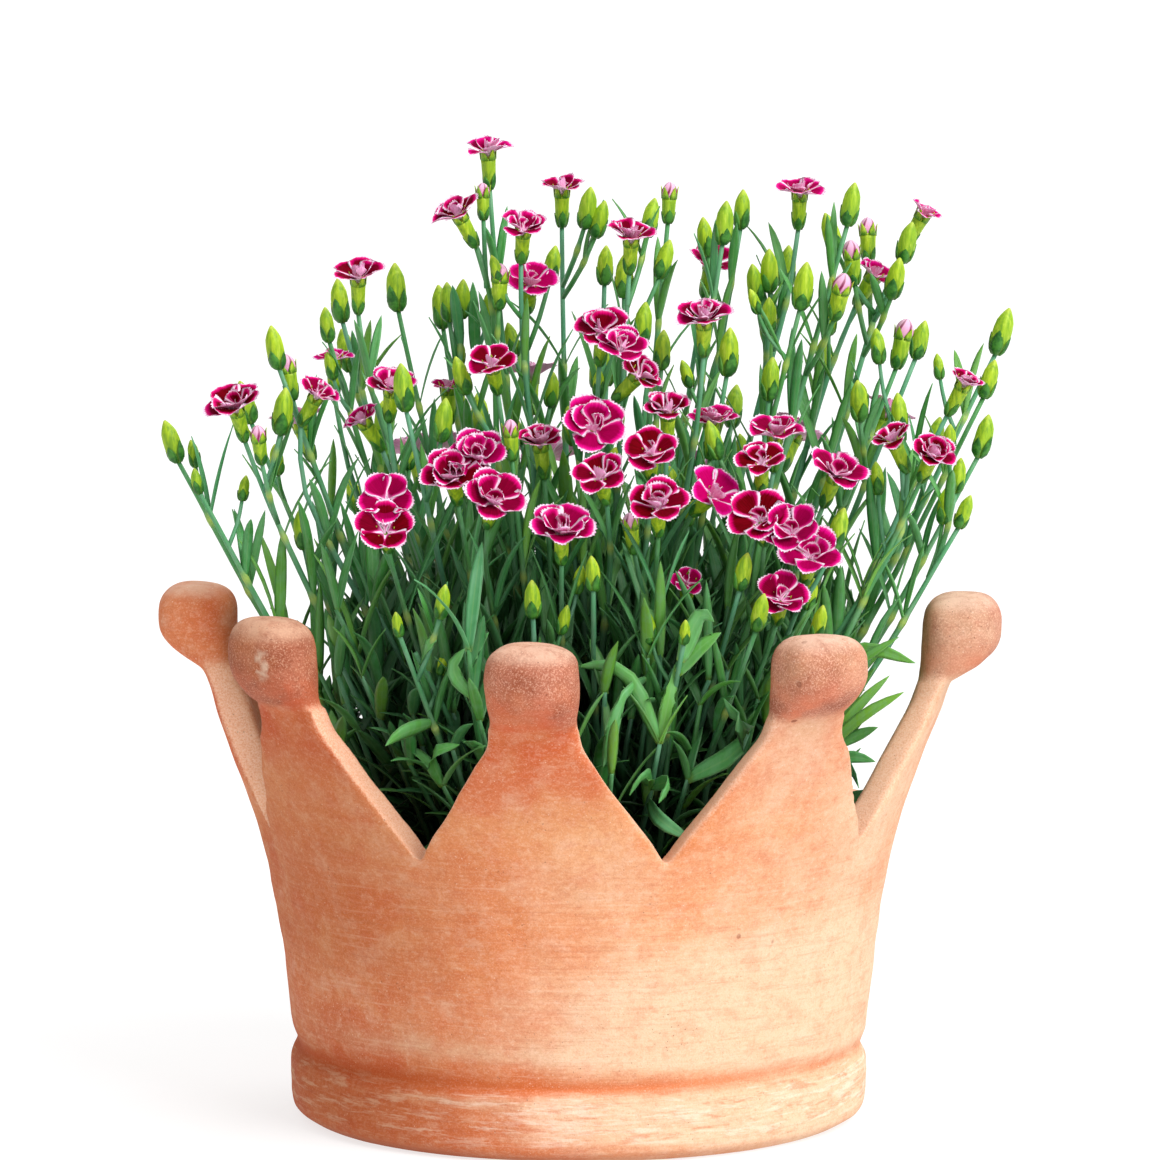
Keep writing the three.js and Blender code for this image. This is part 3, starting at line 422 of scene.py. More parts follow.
class Shader:
    """A short way to write a node material. A colour is a socket, or sRGB numbers from 0 to 255."""

    def __init__(self, name):
        self.material = bpy.data.materials.new(name)
        self.material.use_nodes = True
        self.tree = self.material.node_tree
        self.tree.nodes.clear()
        self.surface = self.node("BsdfPrincipled")
        self.node("OutputMaterial", {0: self.surface.outputs[0]})

    def put(self, socket, value):
        if isinstance(value, bpy.types.NodeSocket):
            self.tree.links.new(value, socket)
        else:
            socket.default_value = value

    def node(self, kind, inputs=(), **settings):
        made = self.tree.nodes.new("ShaderNode" + kind)
        for key, value in settings.items():
            setattr(made, key, value)
        for key, value in dict(inputs).items():
            self.put(made.inputs[key], value)
        return made

    def place(self, stretch):
        """The point of the object, in metres, stretched along each axis."""
        point = self.node("TexCoord").outputs["Object"]
        return self.node("VectorMath", {0: point, 1: stretch}, operation="MULTIPLY").outputs[0]

    def values(self, name):
        """The three numbers that the mesh holds under a name."""
        vector = self.node("Attribute", attribute_name=name).outputs["Vector"]
        return self.node("SeparateXYZ", {0: vector}).outputs[:]

    def math(self, operation, *values):
        return self.node("Math", enumerate(values), operation=operation).outputs[0]

    def times(self, *factors):
        return functools.reduce(functools.partial(self.math, "MULTIPLY"), factors)

    def plus(self, *terms):
        return functools.reduce(functools.partial(self.math, "ADD"), terms)

    def most(self, a, b):
        return self.math("MAXIMUM", a, b)

    def noise(self, scale, detail=4, roughness=0.55, at=(1, 1, 1), distortion=0):
        """Noise in the object's space, stretched by at, or in a space of its own if at is a socket."""
        at = at if isinstance(at, bpy.types.NodeSocket) else self.place(at)
        numbers = {"Scale": scale, "Detail": detail, "Roughness": roughness, "Distortion": distortion}
        return self.node("TexNoise", {"Vector": at, **numbers}).outputs["Fac"]

    def cells(self, scale, at=(1, 1, 1)):
        return self.node("TexVoronoi", {"Vector": self.place(at), "Scale": scale}).outputs["Distance"]

    def band(self, value, low, high, start=0, end=1):
        """Maps value smoothly from low..high to start..end."""
        numbers = enumerate((value, low, high, start, end))
        return self.node("MapRange", numbers, interpolation_type="SMOOTHSTEP").outputs[0]

    def mix(self, share, a, b, blend="MIX"):
        a, b = (srgb(*color) if isinstance(color, tuple) else color for color in (a, b))
        return self.node("Mix", {"Factor": share, 6: a, 7: b}, data_type="RGBA", blend_type=blend).outputs[2]

    def layers(self, color, *rows):
        """Lays one colour after another over the first: each has a mask, a strength and its tint."""
        for mask, strength, tint in rows:
            color = self.mix(self.times(mask, strength), color, tint)
        return color

    def bump(self, height, strength, distance):
        return self.node("Bump", {"Strength": strength, "Distance": distance, "Height": height}).outputs[0]

    def finish(self, color, roughness, **sockets):
        for key, value in {"Base_Color": color, "Roughness": roughness, **sockets}.items():
            self.put(self.surface.inputs[key.replace("_", " ")], value)
        return self.material


def terracotta_material():
    """Fired clay. Its masks come from planter_masks."""
    s = Shader("terracotta")
    knob, cut, groove = s.values("shape")
    inside, seam, rim = s.values("place")
    chalk_and_highlight, flush_and_shade, foot_shade = s.values("tint")
    crest, foot, ledge = s.values("tops_and_bands")
    scuff, shade, lined = s.values("marks_and_shade")

    clouds, blush = s.noise(11, 5, 0.6), s.noise(17, 4, 0.62, (1, 1, 1.5))
    streaks = s.noise(1, 4, 0.6, (6, 6, 40), 0.5)
    blotch, patches = s.noise(70, 4, 0.65, (1, 1, 1.4)), s.noise(150, 3, 0.6, (1, 1, 1.2))
    mottle, grit = s.noise(380, 3, 0.65, (1, 1, 1.7)), s.noise(1300, 2, 0.75)
    fine = s.noise(1, 4, 0.7, (26, 26, 640), 0.1)
    # The flush, which on the left of the wall is also painted shade.
    flushed = s.times(flush_and_shade, s.band(s.noise(28, 4, 0.6), 0.3, 0.6, 0.45, 1))
    # The pale veil is the chalky bloom and the painted highlight on the right side and the ledge.
    veil = s.plus(chalk_and_highlight, s.times(s.plus(s.noise(13, 5, 0.58), -0.5), 1.3))
    thrown = s.math("MULTIPLY_ADD", lined, 0.8, 0.2)
    # Painted shade: a streaky, darker orange band in the groove's recess.
    groove_shade = s.times(groove, s.band(s.noise(1, 4, 0.65, (40, 40, 260)), 0.28, 0.5, 0.35, 1))
    scratched = s.band(s.noise(1, 4, 0.75, (44, 44, 380), 0.2), 0.48, 0.64)
    scraped = s.band(s.noise(1, 3, 0.7, (50, 50, 260), 0.2), 0.52, 0.66)
    wall = s.layers(
        s.mix(s.band(clouds, 0.32, 0.68), (223, 136, 84), (230, 160, 110)),
        (s.band(streaks, 0.46, 0.7), 0.3, (234, 182, 144)),
        (s.band(streaks, 0.46, 0.3), 0.25, (214, 112, 66)),
        (s.band(blush, 0.54, 0.7), 0.5, (214, 100, 58)),
        (flushed, 0.85, (208, 90, 44)),
        (s.band(veil, 0.2, 0.95), 0.86, (232, 198, 164)),
        (s.band(blotch, 0.5, 0.7), 0.27, (206, 112, 70)),
        (s.band(blotch, 0.5, 0.3), 0.26, (240, 198, 172)),
        (s.band(patches, 0.52, 0.68), 0.17, (212, 108, 72)),
        (s.band(patches, 0.48, 0.34), 0.16, (246, 208, 180)),
        (s.band(mottle, 0.52, 0.68), 0.2, (190, 100, 62)),
        (s.band(mottle, 0.48, 0.32), 0.2, (246, 210, 184)),
        (s.times(s.band(fine, 0.52, 0.7), thrown), 0.26, (244, 208, 180)),
        (s.times(s.band(fine, 0.48, 0.3), thrown), 0.24, (184, 96, 58)),
        (groove_shade, 0.9, (214, 106, 48)),
        # Pale scratches on the foot; on the ledge they also paint its highlight.
        (s.times(scratched, s.most(foot, ledge)), 0.5, (250, 226, 206)),
        (s.times(scraped, foot), 0.45, (206, 104, 58)),
        # The notches' cut faces paler: partly the cut clay's own colour, partly painted light.
        (cut, 0.72, (242, 184, 150)),
        (s.band(grit, 0.52, 0.66), 0.17, (250, 220, 196)),
        (s.band(grit, 0.46, 0.34), 0.15, (166, 84, 52)),
    )
    gritty = s.layers(
        s.mix(s.band(s.noise(60, 4, 0.6), 0.3, 0.7), (150, 80, 60), (190, 120, 98)),
        (s.band(mottle, 0.52, 0.7), 0.22, (146, 78, 58)),
        (s.band(grit, 0.52, 0.62), 0.5, (236, 190, 166)),
        (s.band(grit, 0.46, 0.36), 0.5, (126, 66, 46)),
        (s.times(flush_and_shade, s.band(s.noise(40, 3, 0.6), 0.4, 0.6)), 0.7, (212, 108, 74)),
    )
    worn = s.band(s.noise(24, 4, 0.6), 0.36, 0.62, 0.55, 1)
    # The knobs paler on their tops, in patches.
    pale_tops = s.times(crest, s.band(s.noise(120, 5, 0.7), 0.3, 0.6, 0.4, 1))
    specks = s.band(s.cells(420), 0.16, 0.06)
    rare = s.most(s.band(s.noise(60, 2, 0.5), 0.55, 0.66), s.times(knob, 0.9))
    pits = s.times(s.band(s.cells(95, (1, 1.1, 0.9)), 0.15, 0.09), s.band(s.noise(21, 2, 0.5), 0.6, 0.68))
    pale = s.band(s.cells(360, (1.1, 0.9, 1)), 0.14, 0.05)
    rare_pale = s.most(s.band(s.noise(45, 2, 0.5, (1, 1.2, 1)), 0.46, 0.6), s.times(knob, 0.8))
    color = s.layers(
        s.mix(s.times(knob, worn, 0.9), wall, gritty),
        (pale_tops, 0.72, (236, 200, 176)),
        (s.times(s.most(rim, cut), s.band(grit, 0.4, 0.6)), 0.4, (246, 212, 186)),
        (s.times(specks, rare), 0.55, (106, 50, 34)),
        (pits, 0.7, (128, 62, 38)),
        (s.times(pale, rare_pale), 0.55, (250, 226, 204)),
        (scuff, 0.6, (244, 226, 208)),
    )
    # Painted shade multiplied into the colour on the left side and the front point's top, then the seam, the
    # painted shade at the foot and the inside.
    color = s.layers(
        s.mix(shade, color, (194, 154, 101), "MULTIPLY"),
        (seam, 0.2, (190, 102, 64)),
        # Painted shade at the foot.
        (foot_shade, 0.55, (146, 80, 54)),
        (inside, 0.25, (206, 118, 76)),
    )
    holes = s.times(s.plus(specks, pits), -0.7)
    relief = s.plus(s.times(fine, 0.6), s.times(grit, 0.5), s.times(mottle, 0.4), holes)
    normal = s.bump(relief, 0.5, 0.0007)
    return s.finish(color, s.band(clouds, 0.3, 0.7, 0.8, 0.94), Normal=normal, Specular_IOR_Level=0.25)


def soil_material():
    s = Shader("potting_soil")
    crumbs = s.noise(120, 6, 0.7)
    bark = s.times(s.band(s.cells(170), 0.2, 0.05), s.band(s.noise(50), 0.55, 0.65))
    earth = s.mix(s.band(crumbs, 0.35, 0.65), (26, 17, 12), (66, 44, 30))
    color = s.mix(bark, earth, (110, 62, 40))
    return s.finish(color, 0.95, Normal=s.bump(crumbs, 0.9, 0.002), Specular_IOR_Level=0.2)


def foliage_material():
    """Leaves: blade is along, across and a draw; look is tone, painted shade deep in the clumps, and how
    fresh it grew.
    """
    s = Shader("dianthus_leaf")
    along, across, _ = s.values("blade")
    tone, inner_shade, fresh = s.values("look")
    from_vein = s.math("ABSOLUTE", across)
    mottle = s.noise(300, 3, 0.6, (1, 1, 0.35))
    color = s.layers(
        s.mix(tone, (58, 146, 48), (80, 160, 102)),
        (fresh, 0.85, (136, 194, 52)),
        (s.band(from_vein, 0, 0.18, 1, 0), 0.35, (134, 186, 110)),
        (s.band(from_vein, 0.8, 1), 0.4, (156, 200, 140)),
        (s.band(along, 0, 0.12, 1, 0), 0.5, (166, 200, 84)),
        (s.band(mottle, 0.4, 0.62), 0.22, (128, 186, 146)),
        # Painted shade deep inside the clumps and low by the wall.
        (inner_shade, 0.84, (8, 34, 12)),
    )
    lines = s.noise(1, 2, 0.5, (900, 900, 60))
    return s.finish(color, 0.48, Normal=s.bump(lines, 0.25, 0.0004), Specular_IOR_Level=0.4)


def stem_material():
    """Stems: blade is how near a joint, height and a draw; look is painted shade deep in the clumps."""
    s = Shader("dianthus_stem")
    joint, _, draw = s.values("blade")
    inner_shade = s.values("look")[0]
    color = s.layers(
        s.mix(draw, (72, 146, 68), (92, 164, 124)),
        (s.band(s.noise(160, 3, 0.6, (1, 1, 0.3)), 0.42, 0.62), 0.35, (134, 184, 150)),
        (joint, 0.75, (182, 206, 90)),
        # Painted shade deep inside the clumps and low by the wall.
        (inner_shade, 0.84, (6, 32, 12)),
    )
    lines = s.noise(1, 2, 0.5, (1200, 1200, 40))
    return s.finish(color, 0.46, Normal=s.bump(lines, 0.2, 0.0003), Specular_IOR_Level=0.4)


def bud_material():
    """Buds and calyces: blade is along, rib and a draw; look is how much petal, scale and a draw."""
    s = Shader("dianthus_bud")
    along, rib, draw = s.values("blade")
    rolled, scale, _ = s.values("look")
    mottle = s.noise(240, 3, 0.6)
    streak = s.noise(1, 3, 0.6, (760, 760, 110))
    # The bud's skin goes from darker green at its foot to lime at its top: partly the calyx's own colour,
    # partly painted shade low and painted light high.
    skin = s.layers(
        s.mix(s.band(along, 0.05, 0.5), (92, 150, 36), (176, 206, 26)),
        (draw, 0.45, (130, 182, 44)),
        (rib, 0.4, (88, 142, 30)),
        (s.band(streak, 0.46, 0.66), 0.6, (84, 138, 34)),
        (s.band(streak, 0.46, 0.3), 0.4, (214, 228, 92)),
        (s.band(along, 0.82, 1), 0.4, (222, 226, 104)),
    )
    scaly = s.layers(
        s.mix(s.band(mottle, 0.4, 0.6), (34, 98, 30), (70, 136, 46)),
        (s.band(s.math("ABSOLUTE", rib), 0.72, 1), 0.5, (126, 172, 60)),
    )
    petal = s.layers(
        s.mix(s.band(rib, 0.25, 0.85), (240, 172, 210), (136, 4, 74)),
        (s.band(along, 0.5, 1), 0.3, (250, 224, 238)),
    )
    color = s.mix(rolled, s.mix(scale, skin, scaly), petal)
    return s.finish(color, 0.5, Normal=s.bump(mottle, 0.2, 0.0003), Specular_IOR_Level=0.35)


def petal_material():
    """Petals: petal is across, along and a draw; look is how far in from the edge, underside, tone."""
    s = Shader("dianthus_petal")
    across, along, draw = s.values("petal")
    edge, under, tone = s.values("look")

    def fan(roughness, detail, times, stretch):
        """Noise that spreads with the petal, centred on 0.5."""
        place = enumerate((s.times(across, times), s.times(along, stretch), s.times(draw, 40)))
        return s.noise(1, detail, roughness, s.node("CombineXYZ", place).outputs[0])

    feather = fan(0.65, 4, 9, 1.6)
    soft, rays = s.plus(feather, -0.5), s.plus(fan(0.5, 2, 26, 0.9), -0.5)
    deep = s.layers(
        s.mix(tone, (94, 0, 7), (178, 0, 88)),
        (s.band(feather, 0.4, 0.65), 0.4, s.mix(tone, (136, 0, 26), (198, 2, 108))),
    )
    bright = s.mix(tone, (202, 2, 96), (218, 14, 138))
    inward = s.plus(edge, s.times(rays, 0.2), s.band(along, 0.4, 1, 0, -0.1))
    throat = s.band(s.plus(along, s.times(soft, 0.12)), 0.29, 0.15)
    rayed = s.band(s.plus(edge, s.times(rays, 0.16)), 0.14, 0.06)
    rim = s.band(s.plus(edge, s.times(soft, 0.06), s.times(rays, 0.05)), 0.088, 0.04)
    face = s.layers(
        s.mix(s.band(inward, 0.05, 0.19), bright, deep),
        (throat, 0.75, (226, 114, 182)),
        (rayed, 0.5, (236, 100, 180)),
        (rim, 1, (254, 226, 246)),
    )
    back = s.layers(
        s.mix(s.band(feather, 0.35, 0.65), (230, 142, 198), (246, 196, 228)),
        (s.band(along, 0.5, 0.1), 1, (248, 226, 230)),
    )
    normal = s.bump(feather, 0.25, 0.0004)
    return s.finish(s.mix(under, face, back), 0.72, Normal=normal, Specular_IOR_Level=0.02)


def thread_material():
    s = Shader("dianthus_style")
    return s.finish(s.mix(s.noise(400, 2), (252, 230, 240), (236, 180, 210)), 0.5)


def floor_material():
    s = Shader("pale_floor")
    color = s.mix(s.band(s.noise(3, 3), 0.3, 0.7), (150, 150, 149), (154, 154, 154))
    glow = {"Emission_Color": (1, 1, 1, 1), "Emission_Strength": 0.72}
    return s.finish(color, 0.9, Specular_IOR_Level=0.1, **glow)


# ---------------------------------------------------------------- the planter and its soil

def smooth_profile(points, step=4.0):
    """Points along a smooth curve through the given ones, about a step apart."""
    points = [np.array(p, float) for p in points]
    padded = [2 * points[0] - points[1], *points, 2 * points[-1] - points[-2]]
    result = []
    for a, b, c, d in zip(padded, padded[1:], padded[2:], padded[3:]):
        reach = np.linalg.norm(c - b)
        leaving, arriving = (
            tangent / max(np.linalg.norm(tangent), 1e-6) * reach for tangent in ((c - a) * 0.5, (d - b) * 0.5)
        )
        count = max(1, int(reach / step))
        for t in np.arange(count) / count:
            h1, h2 = 2 * t**3 - 3 * t**2 + 1, t**3 - 2 * t**2 + t
            h3, h4 = -2 * t**3 + 3 * t**2, t**3 - t**2
            result.append(h1 * b + h2 * leaving + h3 * c + h4 * arriving)
    return [*result, points[-1]]


def lathe_object(name, profile, sides, middle=(0.0, 0.0)):
    """A solid of revolution about an upright line, closed at both ends of its profile."""
    points = [
        (middle[0] + r * math.cos(a), middle[1] + r * math.sin(a), z)
        for r, z in profile for a in circle(sides)
    ]
    points += [(*middle, profile[0][1]), (*middle, profile[-1][1])]
    return plain_object(name, points, *sleeve(len(profile), sides))


def notch_reach(half_spacing):
    half = math.radians(half_spacing)
    return NECK_RADIUS * math.sin(half) - NECK_WIDTH / 2 * math.cos(half)


def notch_object(bearing, half_spacing):
    """The cutter of one notch: a V whose foot runs level where its points stand further apart."""
    top = notch_reach(half_spacing)
    level = top - notch_reach(POINT_SPACING / 2)
    side = [
        (top - CUTTER["inset"], NECK_HEIGHT - CUTTER["below"]),
        (top, NECK_HEIGHT + CUTTER["above"]), (top, CUTTER["top"]),
    ]
    valley = [(-level, VALLEY_HEIGHT), (level, VALLEY_HEIGHT)] if level > 0.01 else [(0, VALLEY_HEIGHT)]
    outline = [*valley, *side, *[(-x, z) for x, z in reversed(side)]]
    c, s = math.cos(math.radians(bearing)), math.sin(math.radians(bearing))
    depths = CUTTER["near"], CUTTER["far"]
    points = [(x * c - depth * s, x * s + depth * c, z) for depth in depths for x, z in outline]
    count = len(outline)
    quads = [(k, (k + 1) % count, (k + 1) % count + count, k + count) for k in range(count)]
    triangles = [(k + 1, k, 0) for k in range(1, count - 1)]
    triangles += [(count, count + k, count + k + 1) for k in range(1, count - 1)]
    obj = plain_object("notch", points, quads, triangles)
    work = bmesh.new()
    work.from_mesh(obj.data)
    bmesh.ops.recalc_face_normals(work, faces=work.faces)
    work.to_mesh(obj.data)
    work.free()
    return obj


def squared(values, power):
    return np.sign(values) * np.abs(values) ** (2 / power)


def knob_object(bearing):
    """A knob: its foot meets the point flush, it swells outward to its widest, and its top is a flat dome."""
    share = np.linspace(1, 0, KNOB_LEVELS, endpoint=False)
    outer = KNOB["outer"] - (KNOB["outer"] - KNOB_FOOT["outer"]) * share ** KNOB_SWELL["outer"]
    inner = KNOB["inner"] - (KNOB["inner"] - KNOB_FOOT["inner"]) * share
    width = KNOB["width"] - (KNOB["width"] - KNOB_FOOT["width"]) * share ** KNOB_SWELL["width"]
    height = KNOB["widest"] - (KNOB["widest"] - KNOB_FOOT["height"]) * share
    flat = KNOB_SQUARENESS["dome"]
    dome = np.sin(0.5 * math.pi * np.arange(KNOB_LEVELS) / KNOB_LEVELS) ** (2 / flat)
    size = (1 - dome ** flat) ** (1 / flat)
    wide = np.concatenate([width / 2, size * KNOB["width"] / 2])
    middle = np.concatenate([(inner + outer) / 2, np.full(KNOB_LEVELS, (KNOB["inner"] + KNOB["outer"]) / 2)])
    deep = np.concatenate([(outer - inner) / 2, size * ((KNOB["outer"] - KNOB["inner"]) / 2)])
    z = np.concatenate([height, KNOB["widest"] + (KNOB["top"] - KNOB["widest"]) * dome])
    angles, plan = circle(KNOB_SIDES), KNOB_SQUARENESS["plan"]
    x = wide[:, None] * squared(np.cos(angles), plan)
    y = deep[:, None] * squared(np.sin(angles), plan) - middle[:, None]
    points = np.stack([x, y, z[:, None] * np.ones(KNOB_SIDES)], -1).reshape(-1, 3)
    points = np.concatenate([points, [(0, -middle[0], z[0]), (0, -middle[-1], KNOB["top"])]])
    raised, size = KNOB_UNEVEN.get(bearing, (0, 1))
    points[:, 2] += raised * smoothstep(points[:, 2], KNOB_FOOT["height"], KNOB["top"])
    points[:, :2] = (points[:, :2] + (0, middle[0])) * size - (0, middle[0])
    return plain_object("knob", turned(points, math.radians(bearing)), *sleeve(2 * KNOB_LEVELS, KNOB_SIDES))


def modify(obj, kind, **settings):
    modifier = obj.modifiers.new(kind.lower(), kind)
    for key, value in settings.items():
        setattr(modifier, key, value)


def apply_modifiers(obj):
    evaluated = obj.evaluated_get(bpy.context.evaluated_depsgraph_get())
    mesh = bpy.data.meshes.new_from_object(evaluated)
    obj.modifiers.clear()
    obj.data = mesh


def cut_by(obj, cutter):
    modify(obj, "BOOLEAN", operation="DIFFERENCE", solver="EXACT", object=cutter)
    apply_modifiers(obj)
    bpy.data.objects.remove(cutter)


def add_to(first, obj):
    """Adds an object's mesh to the first's."""
    work = bmesh.new()
    work.from_mesh(first.data)
    work.from_mesh(obj.data)
    work.to_mesh(first.data)
    work.free()
    bpy.data.objects.remove(obj)


def soften(mesh):
    """Smooths the points' flanks, then rounds the step where each knob sits, in and out along the radius."""
    first, second = read(mesh.edges, "vertices", 2, np.int32).T
    points = read(mesh.vertices, "co", 3)
    count = len(points)
    shares = np.maximum(np.bincount(first, minlength=count) + np.bincount(second, minlength=count), 1)

    def from_neighbours(places):
        """The way from each place to the mean of its neighbours."""
        return np.stack([
            np.bincount(first, column[second], count) + np.bincount(second, column[first], count)
            for column in places.T
        ], -1) / shares[:, None] - places

    flanks = plateau(points[:, 2], *HEIGHTS["flanks"], 0.5)
    for _ in range(FLANK_SMOOTHING):
        points += from_neighbours(points) * flanks[:, None]
    necks = plateau(points[:, 2], *HEIGHTS["necks"], 0.6)
    radial = points[:, :2] / np.maximum(np.hypot(points[:, 0], points[:, 1]), 1e-6)[:, None]
    for k in range(NECK_SMOOTHING):
        push = from_neighbours(points[:, :2])
        if k >= NECK_ROUNDING:
            push = np.sum(push * radial, -1)[:, None] * radial
        points[:, :2] = points[:, :2] + push * necks[:, None]
    mesh.vertices.foreach_set("co", points.ravel())
    mesh.update()


def planter_body():
    """The planter in millimetres: turned, notched, drilled, joined to its knobs and rounded at its edges."""
    profile = [
        (FLOOR["inner"], 0), *smooth_profile(OUTER_WALL),
        *smooth_profile(INNER_WALL, 8), (FLOOR["inner"], FLOOR["top"]),
    ]
    body = lathe_object("planter_work", profile, WALL_SIDES)
    for bearing, following in zip(POINT_BEARINGS, [*POINT_BEARINGS[1:], 360]):
        cut_by(body, notch_object((bearing + following) / 2, (following - bearing) / 2))
    drill = [(DRAIN_HOLES["radius"], DRAIN_HOLES[end]) for end in ("bottom", "top")]
    for i in range(DRAIN_HOLES["count"]):
        middle = bearing_vector(DRAIN_HOLES["first"] + 360 * i / DRAIN_HOLES["count"]) * DRAIN_HOLES["ring"]
        cut_by(body, lathe_object("drill", drill, DRAIN_HOLES["sides"], middle[:2]))
    for bearing in POINT_BEARINGS:
        add_to(body, knob_object(bearing))
    modify(body, "REMESH", mode="VOXEL", voxel_size=VOXEL)
    modify(body, "SMOOTH", **EDGE_SOFTENING)
    apply_modifiers(body)
    soften(body.data)
    modify(body, "DECIMATE", ratio=min(1.0, PLANTER_TRIANGLES / (2 * len(body.data.polygons))))
    apply_modifiers(body)
    return body


def knob_shares(points, bearing):
    """Where points lie beside a knob's middle: across, outward and up, as shares of its half sizes."""
    across, out, up = turned(points, -math.radians(bearing)).T
    out_middle, level = (KNOB["outer"] + KNOB["inner"]) / 2, (KNOB["top"] + KNOB_FOOT["height"]) / 2
    deep, tall = (KNOB["outer"] - KNOB["inner"]) / 2, (KNOB["top"] - KNOB_FOOT["height"]) / 2
    return np.stack([across / (KNOB["width"] / 2), (-out - out_middle) / deep, (up - level) / tall])


def planter_masks(points, normals):
    """How worn, chalky, flushed or gritty the clay is at each point, and where painted shade and painted
    highlight lie on it.
    """
    radius = np.hypot(points[:, 0], points[:, 1])
    facing = np.sum(normals[:, :2] * points[:, :2], -1) / np.maximum(radius, 1e-6)
    edge_on, outside = np.abs(facing), smoothstep(facing, 0.2, 0.5)
    height = points[:, 2]
    bearing = np.degrees(np.arctan2(points[:, 0], -points[:, 1]))
    knob, crest, head = np.zeros((3, len(points)))
    for at in POINT_BEARINGS:
        x, y, z = shares = knob_shares(points, at)
        away = np.sum(np.abs(shares) ** 2.4, 0) ** (1 / 2.4)
        grit = smoothstep(away, 1.5, 1.1) * smoothstep(z, -1.05, -0.62)
        head = np.maximum(head, grit)
        knob = np.maximum(knob, grit * (SMOOTH_KNOB["grit"] if at == SMOOTH_KNOB["bearing"] else 1))
        crest = np.maximum(crest, smoothstep(z, 0.6, 0.98) * smoothstep(away, 1.6, 1.2))
        if at == SCUFFED_KNOB:
            streak = np.abs(x - 0.5 - 0.06 * np.sin(9 * z)) + 0.05 * ripples(points, 3, 9)
            scuff = smoothstep(streak, 0.12, 0.03) * smoothstep(y, 0.3, 0.6)
            scuff = scuff * smoothstep(np.abs(z - 0.18), 0.42, 0.25)

    bare = (1 - head) * smoothstep(normals[:, 2], -0.34, -0.12)
    notch_face = bare * smoothstep(edge_on, 0.8, 0.5) * smoothstep(height, 118, 128)
    rim = bare * plateau(edge_on, 0.5, 0.7, 0.8, 0.93) * smoothstep(height, 118, 126)
    groove, ledge, chalk_line = (hump(height, *BANDS[name]) * outside for name in BANDS)
    seam = hump(bearing, SEAM["bearing"], SEAM["width"]) * outside * plateau(height, *HEIGHTS["seam"])
    right, middle, front, left, far_left = (plateau(bearing, *BEARINGS[name]) for name in BEARINGS)
    chalky, foot, flushed = (plateau(height, *HEIGHTS[name]) for name in ("chalky", "foot", "flushed"))

    # The painted shade in the groove is weaker on the lit right side.
    groove = groove * (1 - 0.42 * right)
    # Chalky bloom in bands, at the foot and above the groove, with painted highlight: paler over the whole
    # lit right side, and along the ledge under the groove.
    chalk_and_highlight = 0.02 + 0.72 * right + chalky * (0.28 * middle + 0.5 * right)
    chalk_and_highlight = chalk_and_highlight + foot * (0.3 * middle + 0.45 * right) + 0.3 * ledge + 0.35 * chalk_line
    drips = 0.5 + 0.5 * np.clip(ripples(points * (1, 1, 0.25), 13, 8), -1, 1)
    # Flushed orange on the necks and the far-left knob; on the left of the wall the flush also paints shade,
    # darker and deeper orange.
    flush_and_shade = flushed * (0.72 + 0.5 * drips) + 0.3 * smoothstep(height, 150, 120) * (1 - right)
    smooth_side = far_left * smoothstep(height, 120, 150)
    flush_and_shade = np.maximum(flush_and_shade, 1.1 * smooth_side) + 0.4 * smoothstep(height, 112, 40) * (1 - right) ** 2
    # Painted shade: the last few millimetres of the foot darkened, most on the shaded left side.
    foot_shade = smoothstep(height, 7, 1) * (1.1 - right)
    # Painted shade: the left side of the wall darkened in its colour, and a little of the front point's neck
    # and knob.
    shade = left * (1 - notch_face) * np.interp(height, SHADE_HEIGHTS, SHADE) * (1 - smooth_side)
    shade = np.maximum(shade, 0.14 * front * smoothstep(height, 134, 160))
    masks = {
        "shape": (knob, notch_face, groove),
        "place": (smoothstep(facing, -0.2, -0.6), seam, rim),
        "tops_and_bands": (crest, foot * outside, ledge),
        "marks_and_shade": (scuff, shade, smoothstep(height, 136, 112)),
        "tint": (chalk_and_highlight, flush_and_shade, foot_shade),
    }
    return {name: np.stack(mask, -1) for name, mask in masks.items()}


def make_planter():
    body = planter_body()
    mesh = body.data
    points, normals = (read(mesh.vertices, key, 3) for key in ("co", "normal"))
    masks = planter_masks(points, normals)
    drag_lines = ripples(points * (0.12, 0.12, 1.0), 7, 5) * smoothstep(points[:, 2], 120, 108)
    wobble = 0.55 * ripples(points, 70, 3) + 0.22 * ripples(points, 24, 4) + 0.13 * drag_lines
    wobble += 0.12 * ripples(points, 9, 6) * masks["shape"][:, 0]
    wobble *= smoothstep(points[:, 2], 0.5, 8)
    points = points + normals * wobble[:, None]
    points[:, 2] = np.maximum(points[:, 2], 0)
    corners = read(mesh.loops, "vertex_index", kind=np.int32)
    starts, sizes = (read(mesh.polygons, key, kind=np.int32) for key in ("loop_start", "loop_total"))
    quads, triangles = (corners[starts[sizes == n][:, None] + np.arange(n)] for n in (4, 3))
    bpy.data.objects.remove(body)
    return mesh_object("planter", points, quads, triangles, terracotta_material(), masks)


